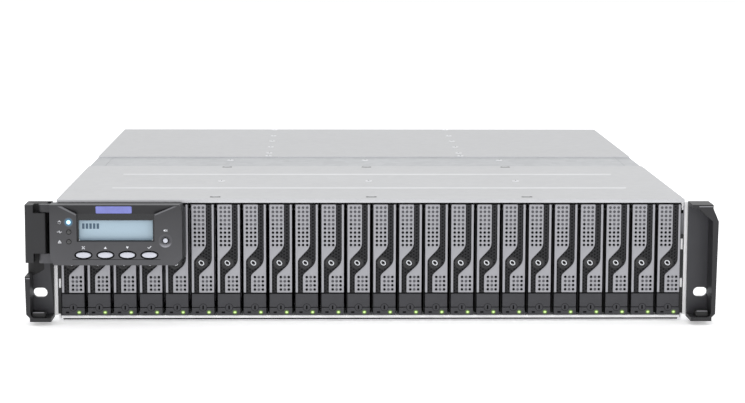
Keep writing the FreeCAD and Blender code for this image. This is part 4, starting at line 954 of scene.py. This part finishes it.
# a line of given width through points becomes a row of thin plates
def printedLine(points, width, face):
    parts = []
    for (ax, az), (bx, bz) in zip(points, points[1:]):
        along = Vector((bx - ax, bz - az)).normalized() * width / 2
        across = Vector((-along.y, along.x))
        a, b = Vector((ax, az)) - along, Vector((bx, bz)) + along
        corners = [a - across, b - across, b + across, a + across]
        parts.append((onFace([tuple(v) for v in corners], face), "signWhite"))
    return parts


def printedSign(name, x, z, face):
    width, lines = signs[name]
    parts = []
    for line in lines:
        parts += printedLine([(x + dx, z + dz) for dx, dz in line], width, face)
    return parts


def arrowParts():
    row = signPlace["row"]
    halfX, halfZ = signPlace["arrowHalf"]
    parts = []
    for x, way in signPlace["arrows"]:
        face = faceAt("panel_housing", x, row)
        foot, tip = row - halfZ * way, row + halfZ * way
        line = [(x - halfX, foot), (x + halfX, foot), (x, tip)]
        parts.append((onFace(line if way > 0 else line[::-1], face, 0.06), "signWhite"))
    return parts


def iconParts():
    s = signPlace
    face = faceAt("panel_housing", s["crossX"], s["row"])
    parts = printedSign("cross", s["crossX"], s["row"], face)
    parts += printedSign("tick", s["tickX"], s["row"], face)
    x = s["iconX"]
    upper, centre, lower = (z for _, z in panel["lamps"])
    face = faceAt("panel_housing", x, upper)
    radius = s["arcRadius"]
    arc = [(x + radius * math.sin(a), upper - s["arcDrop"] + radius * math.cos(a)) for a in s["arcTurns"]]
    parts += printedLine(arc, s["arcWidth"], face) + printedSign("bar", x, upper, face)
    parts += printedSign("pulse", x, centre, face) + printedSign("warning", x, lower, face)
    x, z = s["horn"]
    horn = [(x + dx, z + dz) for dx, dz in s["hornLine"]]
    parts.append((onFace(horn, face), "signWhite"))
    return parts + printedSign("silent", x, z, face)


panel = dict(badge=(-191.2, 78.3, -166.3, 83.5), badgeRound=0.8, badgeY=(-0.35, 0.2), badgeInset=0.2,
             hoodHighlights=(((-217.4, 83.4), (-214.4, 83.4), (-204.7, 78.0), (-204.7, 77.0)),
                        ((-150.3, 77.9), (-137.4, 83.4), (-135.0, 83.4), (-150.3, 77.0))), hoodFaceZ=75.0,
             gapShadow=(-218.5, -133.0, 84.4), gapShadowY=(-13.2, -8.5), groove=(-207.6, -146.7, 46.3), grooveHalf=0.16,
             lamps=((-209.9, 72.4), (-209.8, 65.6), (-209.8, 58.8)), lampRadius=1.45, haloRadius=3.3,
             windowLow=(-203.2, 59.2), windowHigh=(-151.9, 73.4), cellFront=-18.0,
             bars=5, barStart=2.2, barPitch=2.5, barWide=1.7, barZ=(-6.2, -2.4),
             pin=((0.5, 0), (0.5, 1.0), (0.45, 1.2), (0.25, 1.34), (0, 1.38)))


# plain badge plate that leans with the hood
def badgePlate():
    x0, z0, x1, z1 = panel["badge"]
    corner, inset = panel["badgeRound"], panel["badgeInset"]
    middleX, middleZ = (x0 + x1) / 2, (z0 + z1) / 2
    lowFace = faceAt("panel_housing", middleX, z0 + inset)
    highFace = faceAt("panel_housing", middleX, z1 - inset)
    lean = math.atan((lowFace - highFace) / (z1 - z0 - 2 * inset))
    halfX, halfZ = (x1 - x0) / 2, (z1 - z0) / 2 / math.cos(lean)
    plate = cutPlate(boxLine(-halfX, -halfZ, halfX, halfZ, corner, 5), [], *panel["badgeY"], 0.15, 2)
    return moved(plate, middleX, (lowFace + highFace) / 2, middleZ, Matrix.Rotation(lean, 4, "X"))


def signPieces():
    small = [(badgePlate(), "badgeBlue")] + arrowParts() + iconParts()
    # painted highlights along the sloping edges of the hood
    for corners in panel["hoodHighlights"]:
        face = faceAt("panel_housing", corners[0][0], panel["hoodFaceZ"])
        small.append((onFace(corners, face), "hoodPaintedHighlight"))
    # dark strip of painted shadow along the back of the panel top, under the lid hem
    x0, x1, z = panel["gapShadow"]
    y0, y1 = panel["gapShadowY"]
    small.append((roundedBox((x0, y0, z - 0.1), (x1, y1, z + 0.08), 0.03, 1), "gapShadow"))
    x0, x1, z = panel["groove"]
    half = panel["grooveHalf"]
    face = faceAt("panel_housing", (x0 + x1) / 2, z)
    small.append((roundedBox((x0, face - 0.04, z - half), (x1, face + 0.1, z + half), 0.03, 1), "slotDark"))
    putPiece("panelSigns", joinMeshes("panelSigns", small), "panel")


# status lamps, the first one lit
def lampPieces():
    r = panel["lampRadius"]
    lenses = []
    for number, (x, z) in enumerate(panel["lamps"]):
        face = faceAt("panel_housing", x + r + 0.6, z)
        profile = [(0, -face - 0.6), (r, -face - 0.6), (r, -face + 0.1),
                   (r * 0.7, -face + 0.35), (0, -face + 0.45)]
        lenses.append((turned(profile, (x, 0, z)), "lampDark" if number else "lampBlue"))
        if number:
            lenses.append((hoop(r + 0.15, r + 0.15, 0.2, (x, face, z), 28), "slotDark"))
        else:
            halo = circlePoints(x, z, panel["haloRadius"], 36)
            lenses.append((onFace(halo, face, 0.04), "haloBlue"))
    putPiece("panelLamps", joinMeshes("panelLamps", lenses), "panel")


# display cell with a row of plain bars and a pin in each lower corner
def displayPieces():
    p = panel
    x0, z0 = p["windowLow"]
    x1, z1 = p["windowHigh"]
    front = p["cellFront"]
    cell = roundedBox((x0 - 0.8, front - 0.3, z0 - 0.6), (x1 + 0.8, front + 0.3, z1 + 0.6), 0.12)
    glass = [(cell, "lcdPale")]
    low, high = z1 + p["barZ"][0], z1 + p["barZ"][1]
    for column in range(p["bars"]):
        x = x0 + p["barStart"] + column * p["barPitch"]
        bar = roundedBox((x, front - 0.36, low), (x + p["barWide"], front - 0.25, high), 0.04, 1)
        glass.append((bar, "lcdInk"))
    for x in (x0 + 0.2, x1 - 0.3):
        glass.append((turned(p["pin"], (x, front - 0.2, z0 + 0.05), "Y", 16), "signWhite"))
    putPiece("displayCell", joinMeshes("displayCell", glass), "panel")


def panelPieces():
    dress("panel_housing", ["panelPlasticShadedAbove", "panelTopPaintedLight", "panelPaintedShade", "hoodPaintedHighlight", "windowDark"],
          panelFinish, 0.35)
    dress("panel_back_cover", ["panelPlasticShadedAbove"], None, 0.3)
    dress("display_module", ["windowDark"], None, 0.1, 1)
    keyPieces()
    signPieces()
    lampPieces()
    displayPieces()


panelPieces()
print("display panel dressed")


# rear canisters: two controllers, two power modules, two fans

# a field of round holes, rows staggered, between two corners
def ventHoles(x0, z0, x1, z1, radius, pitch):
    holes = []
    rise = 0.866      # of the pitch, from row to row
    rows = int((z1 - z0 - 2 * radius) / (pitch * rise)) + 1
    for row in range(rows):
        shift = pitch / 2 if row % 2 else 0
        count = int((x1 - x0 - 2 * radius - shift) / pitch) + 1
        holes += [circlePoints(x0 + radius + shift + pitch * i, z0 + radius + row * pitch * rise, radius, 8)
                  for i in range(count)]
    return holes


def ventPanel(x0, z0, x1, z1, back, radius, pitch):
    rim = boxLine(x0 - 1.5, z0 - 1.5, x1 + 1.5, z1 + 1.5, 1.2)
    grille = cutPlate(rim, ventHoles(x0, z0, x1, z1, radius, pitch), back + 0.03, back + 0.5, 0.1, 1)
    behind = roundedBox((x0 - 0.8, back - 0.1, z0 - 0.8), (x1 + 0.8, back + 0.06, z1 + 0.8), 0.02, 1)
    return [(grille, "rearPlate"), (behind, "slotDark")]


# round part that points to the rear, from (radius, out) pairs
def rearTurned(profile, x, z, back, steps):
    return turned([(radius, -back - out) for radius, out in profile], (x, 0, z), "Y", steps)


thumb = dict(teeth=28, knurl=0.22, knurlFrom=3.8,
             profile=((2.2, 0), (2.2, 1.2), (3.6, 1.2), (3.9, 1.6), (3.9, 5.2), (3.5, 5.6),
                      (1.0, 5.6), (0.8, 5.2)))


# knurled thumb screw that points to the rear
def thumbScrew(x, z, back):
    bm = bmesh.new()
    count = 2 * thumb["teeth"]
    rings = []
    for radius, along in thumb["profile"]:
        knurl = thumb["knurl"] if radius > thumb["knurlFrom"] else 0
        radii = [radius - knurl * (i % 2) for i in range(count)]
        turns = [math.pi * i / thumb["teeth"] for i in range(count)]
        rings.append([bm.verts.new((x + r * math.cos(a), back + along, z + r * math.sin(a)))
                      for r, a in zip(radii, turns)])
    for a, b in zip(rings, rings[1:]):
        for i in range(count):
            bm.faces.new((a[i], a[(i + 1) % count], b[(i + 1) % count], b[i]))
    bm.faces.new(rings[-1])
    bm.faces.new(rings[0])
    bmesh.ops.recalc_face_normals(bm, faces=bm.faces[:])
    return takeMesh(bm)


def rearScrew(x, z, back, radius, height=0.9):
    toRear = Matrix.Rotation(-math.pi / 2, 4, "X")
    return [(moved(shape, x, back, z, toRear), paintName) for shape, paintName in screwMesh(radius, height)]


controller = dict(lows=dict(controller_a=43.7, controller_b=1.7), back=500.0, portFloor=12.0, portDepth=20.0,
                  ports=((-66.4, 14.2, 9.4), (-49.4, 14.2, 9.4), (-32.4, 14.2, 9.4), (-15.4, 14.2, 9.4),
                         (1.6, 17.0, 9.4), (21.4, 12.4, 11.4)), portRim=1.1, contacts=7,
                  portSide=78, portY=(480, 499.6),
                  vent=(-68.0, 27.0, 34.0, 36.6), ventHole=1.25, ventPitch=3.6,
                  lampX=(42.0, 46.5, 51.0, 55.5), lampZ=17.0, litLamps=2, lampRing=(1.35, 1.35, 0.25),
                  lens=((0, 0), (1.1, 0), (1.1, 0.5), (0.7, 0.85), (0, 0.95)), jackX=65.5,
                  jack=((4.0, 0), (4.0, 0.9), (3.6, 1.2), (2.0, 1.2), (1.8, 0.4), (0, 0.3)),
                  thumbX=72.5, thumbZ=31.5, barX=(36.0, 72.0), barZ=4.0, barProud=5.0)


def controllerFinish(c, n):
    if c.y > controller["back"] + 0.2:
        return "fanBlack"
    if c.y > controller["back"] - 0.5 and n.y > 0.5:
        return "rearPlate"
    if abs(c.x) < controller["portSide"] and within(c.y, controller["portY"]):
        return "portMetal"
    return "caseSteel"


# frame of a port, with its tongue and contacts inside
def portParts(x, floor, width, tall):
    c = controller
    back, rim = c["back"], c["portRim"]
    line = boxLine(x - rim, floor - rim, x + width + rim, floor + tall + rim, 0.8)
    mouth = [(x, floor), (x + width, floor), (x + width, floor + tall), (x, floor + tall)]
    end = back - c["portDepth"]
    tongue = roundedBox((x + 1.2, end + 0.05, floor + tall * 0.42),
                        (x + width - 1.2, end + 0.5, floor + tall * 0.62), 0.1, 1)
    parts = [(cutPlate(line, [mouth], back + 0.02, back + 0.6, 0.12, 1), "portMetal"), (tongue, "slotDark")]
    for contact in range(c["contacts"]):
        spot = x + 2.0 + contact * (width - 4.6) / (c["contacts"] - 1)
        parts.append((roundedBox((spot, end + 0.45, floor + tall * 0.45),
                                 (spot + 0.6, end + 0.6, floor + tall * 0.59), 0.03, 1), "contactGold"))
    return parts


def controllerPieces():
    c = controller
    back = c["back"]
    for name, low in c["lows"].items():
        dress(name, ["caseSteel", "rearPlate", "portMetal", "fanBlack"], controllerFinish, 0.25, 1)
        parts = []
        for x, width, tall in c["ports"]:
            parts += portParts(x, low + c["portFloor"], width, tall)
        x0, z0, x1, z1 = c["vent"]
        parts += ventPanel(x0, low + z0, x1, low + z1, back, c["ventHole"], c["ventPitch"])
        z = low + c["lampZ"]
        for number, x in enumerate(c["lampX"]):
            lens = rearTurned(c["lens"], x, z, back, 18)
            parts.append((lens, "lampGreen" if number < c["litLamps"] else "lampDark"))
            parts.append((hoop(*c["lampRing"], (x, back + 0.1, z), 20, 6), "portMetal"))
        parts.append((rearTurned(c["jack"], c["jackX"], z, back, 28), "fanBlack"))
        for side in (-1, 1):
            parts.append((thumbScrew(side * c["thumbX"], low + c["thumbZ"], back), "screwSteel"))
            for x in c["barX"]:
                parts += rearScrew(side * x, low + c["barZ"], back + c["barProud"], 1.8, 0.7)
        putPiece(name + "_fittings", joinMeshes(name + "_fittings", parts), name)


power = dict(back=500.0, fans=dict(power_module_left=-176.3, power_module_right=122.6), fanZ=42.6,
             tunnelY=(470, 499), tunnelZ=(4, 80), tunnelX=149.5, tunnelHalf=66,
             guardRadii=(9.0, 15.0, 21.0, 27.0, 32.5), guardWire=0.75, guardProud=1.0,
             spokeStart=6, spokeEnd=37.5, spokeRadius=0.9, spokeProud=1.9,
             inlets=dict(power_module_left=-115.6, power_module_right=183.3), inletHalf=12.1,
             inletZ=(23.7, 40.1), collar=2.6, blades=((-7.0, -1.8), (0.0, 2.2), (7.0, -1.8)),
             bladeHalf=(1.0, 2.0), bladeY=(485.0, 496.5),
             screwX=20.0, lampX=8, lampZ=77.0, lens=((0, 0), (1.4, 0), (1.4, 0.6), (0.9, 1.0), (0, 1.1)),
             ventHalf=27, ventZ=(6.0, 15.5), ventHole=1.4, ventPitch=4.0)


def powerFinish(c, n):
    p = power
    inTunnel = (within(c.y, p["tunnelY"]) and within(c.z, p["tunnelZ"])
                and abs(abs(c.x) - p["tunnelX"]) < p["tunnelHalf"])
    if c.y > p["back"] + 0.2 or inTunnel and abs(n.y) < 0.5:
        return "fanBlack"
    if c.y > p["back"] - 2 and n.y > 0.5:
        return "rearPlate"
    return "caseSteel"


# wire guard of a fan, held by four screws
def guardParts(x, z):
    p = power
    back, reach, r = p["back"], p["spokeEnd"], p["spokeRadius"]
    parts = [(hoop(radius, radius, p["guardWire"], (x, back + p["guardProud"], z), 56), "screwSteel")
             for radius in p["guardRadii"]]
    for quarter in range(4):
        angle = math.pi / 4 + quarter * math.pi / 2
        spoke = [(0, p["spokeStart"]), (r, p["spokeStart"]), (r, reach), (0, reach)]
        toCorner = Matrix.Rotation(angle, 4, "Y")
        wire = moved(turned(spoke, (0, 0, 0), "Z", 10), x, back + p["spokeProud"], z, toCorner)
        parts.append((wire, "screwSteel"))
        parts += rearScrew(x + reach * math.sin(angle), z + reach * math.cos(angle), back, 3.4, 2.6)
    return parts


# mains inlet with its three blades, a lamp to either side above it and a vent below
def inletParts(x):
    p = power
    back, half, rim = p["back"], p["inletHalf"], p["collar"]
    low, high = p["inletZ"]
    collar = boxLine(x - half - rim, low - rim, x + half + rim, high + rim, 2.5)
    mouth = [(x - half, low), (x + half, low), (x + half, high), (x - half, high)]
    parts = [(cutPlate(collar, [mouth], back + 0.02, back + 1.2, 0.3, 2), "fanBlack")]
    middle = (low + high) / 2
    halfX, halfZ = p["bladeHalf"]
    y0, y1 = p["bladeY"]
    for dx, dz in p["blades"]:
        blade = roundedBox((x + dx - halfX, y0, middle + dz - halfZ),
                           (x + dx + halfX, y1, middle + dz + halfZ), 0.35)
        parts.append((blade, "portMetal"))
    for side in (-1, 1):
        parts += rearScrew(x + side * p["screwX"], middle, back, 2.4)
        lens = rearTurned(p["lens"], x + side * p["lampX"], p["lampZ"], back, 18)
        parts.append((lens, "lampGreen" if side < 0 else "lampDark"))
    (z0, z1), wide = p["ventZ"], p["ventHalf"]
    return parts + ventPanel(x - wide, z0, x + wide, z1, back, p["ventHole"], p["ventPitch"])


def powerPieces():
    for name, x in power["fans"].items():
        dress(name, ["caseSteel", "rearPlate", "fanBlack"], powerFinish, 0.3, 1)
        parts = guardParts(x, power["fanZ"]) + inletParts(power["inlets"][name])
        putPiece(name + "_fittings", joinMeshes(name + "_fittings", parts), name)


fan = dict(modules=dict(fan_left="power_module_left", fan_right="power_module_right"),
           cap=((13.0, 495.1), (13.0, 495.5), (12.4, 495.8), (4.0, 495.8), (3.5, 495.5), (0, 495.5)))


def fanPieces():
    for name, module in fan["modules"].items():
        dress(name, ["fanBlack"], None, 0.25)
        cap = rearTurned(fan["cap"], power["fans"][module], power["fanZ"], 0, 40)
        putPiece(name + "_cap", joinMeshes(name + "_cap", [(cap, "driveMetal")]), name)


controllerPieces()
powerPieces()
fanPieces()
print("rear canisters dressed")


# floor, light and camera

studio = dict(floor=(250, 250, 251), floorHalf=6, floorDrop=0.0005, floorGlow=0.35,
              sky=(255, 255, 255), skyStrength=1.0, aim=(0, 0.1, 0.03),
              lights=dict(topLight=(0.0, 0.2, 2.2, 2.4, 5), frontLight=(-1.1, -2.4, 1.3, 1.8, 3),
                          sideLight=(1.7, -1.2, 0.9, 1.2, 3)))


def areaLight(name, x, y, z, size, watts):
    light = bpy.data.lights.new(name, "AREA")
    light.size = size
    light.energy = watts
    lamp = bpy.data.objects.new(name, light)
    lamp.location = (x, y, z)
    lamp.rotation_euler = (Vector(studio["aim"]) - Vector((x, y, z))).to_track_quat("-Z", "Y").to_euler()
    scene.collection.objects.link(lamp)


def studioScene():
    bm = bmesh.new()
    bmesh.ops.create_grid(bm, x_segments=2, y_segments=2, size=studio["floorHalf"])
    floorMesh = takeMesh(bm)
    look = dict(colour=studio["floor"], rough=0.6, specular=0.2, cloudScale=2, spread=0.01, grainScale=300,
                grain=0.01, glow=(255, 255, 255), glowStrength=studio["floorGlow"])
    floorMesh.materials.append(finish("studioFloor", look))
    floor = bpy.data.objects.new("studioFloor", floorMesh)
    floor.location = (0, 0, -studio["floorDrop"])
    scene.collection.objects.link(floor)
    world = scene.world or bpy.data.worlds.new("studio")
    scene.world = world
    world.use_nodes = True
    back = world.node_tree.nodes["Background"]
    back.inputs["Color"].default_value = srgb(*studio["sky"])
    back.inputs["Strength"].default_value = studio["skyStrength"]
    for name, values in studio["lights"].items():
        areaLight(name, *values)
    scene.view_settings.view_transform = "Standard"


viewpoint = dict(place=(-32.06, -1473.96, 278.05), yaw=1.273, pitch=7.503, roll=0.158, lens=102.23, sensor=36,
                 clipStart=0.05)


def photoCamera():
    yaw, pitch, roll = (math.radians(viewpoint[k]) for k in ("yaw", "pitch", "roll"))
    ahead = Vector((math.sin(yaw) * math.cos(pitch), math.cos(yaw) * math.cos(pitch), -math.sin(pitch)))
    right = Vector((math.cos(yaw), -math.sin(yaw), 0))
    up = right.cross(ahead)
    rightRolled = math.cos(roll) * right + math.sin(roll) * up
    upRolled = -math.sin(roll) * right + math.cos(roll) * up
    data = bpy.data.cameras.new("photoCamera")
    data.lens = viewpoint["lens"]
    data.sensor_width = viewpoint["sensor"]
    data.clip_start = viewpoint["clipStart"]
    camera = bpy.data.objects.new("photoCamera", data)
    turn = Matrix((rightRolled, upRolled, -ahead)).transposed().to_4x4()
    camera.matrix_world = Matrix.Translation(Vector(viewpoint["place"]) * mm) @ turn
    scene.collection.objects.link(camera)
    scene.camera = camera


studioScene()
photoCamera()
print("studio ready")
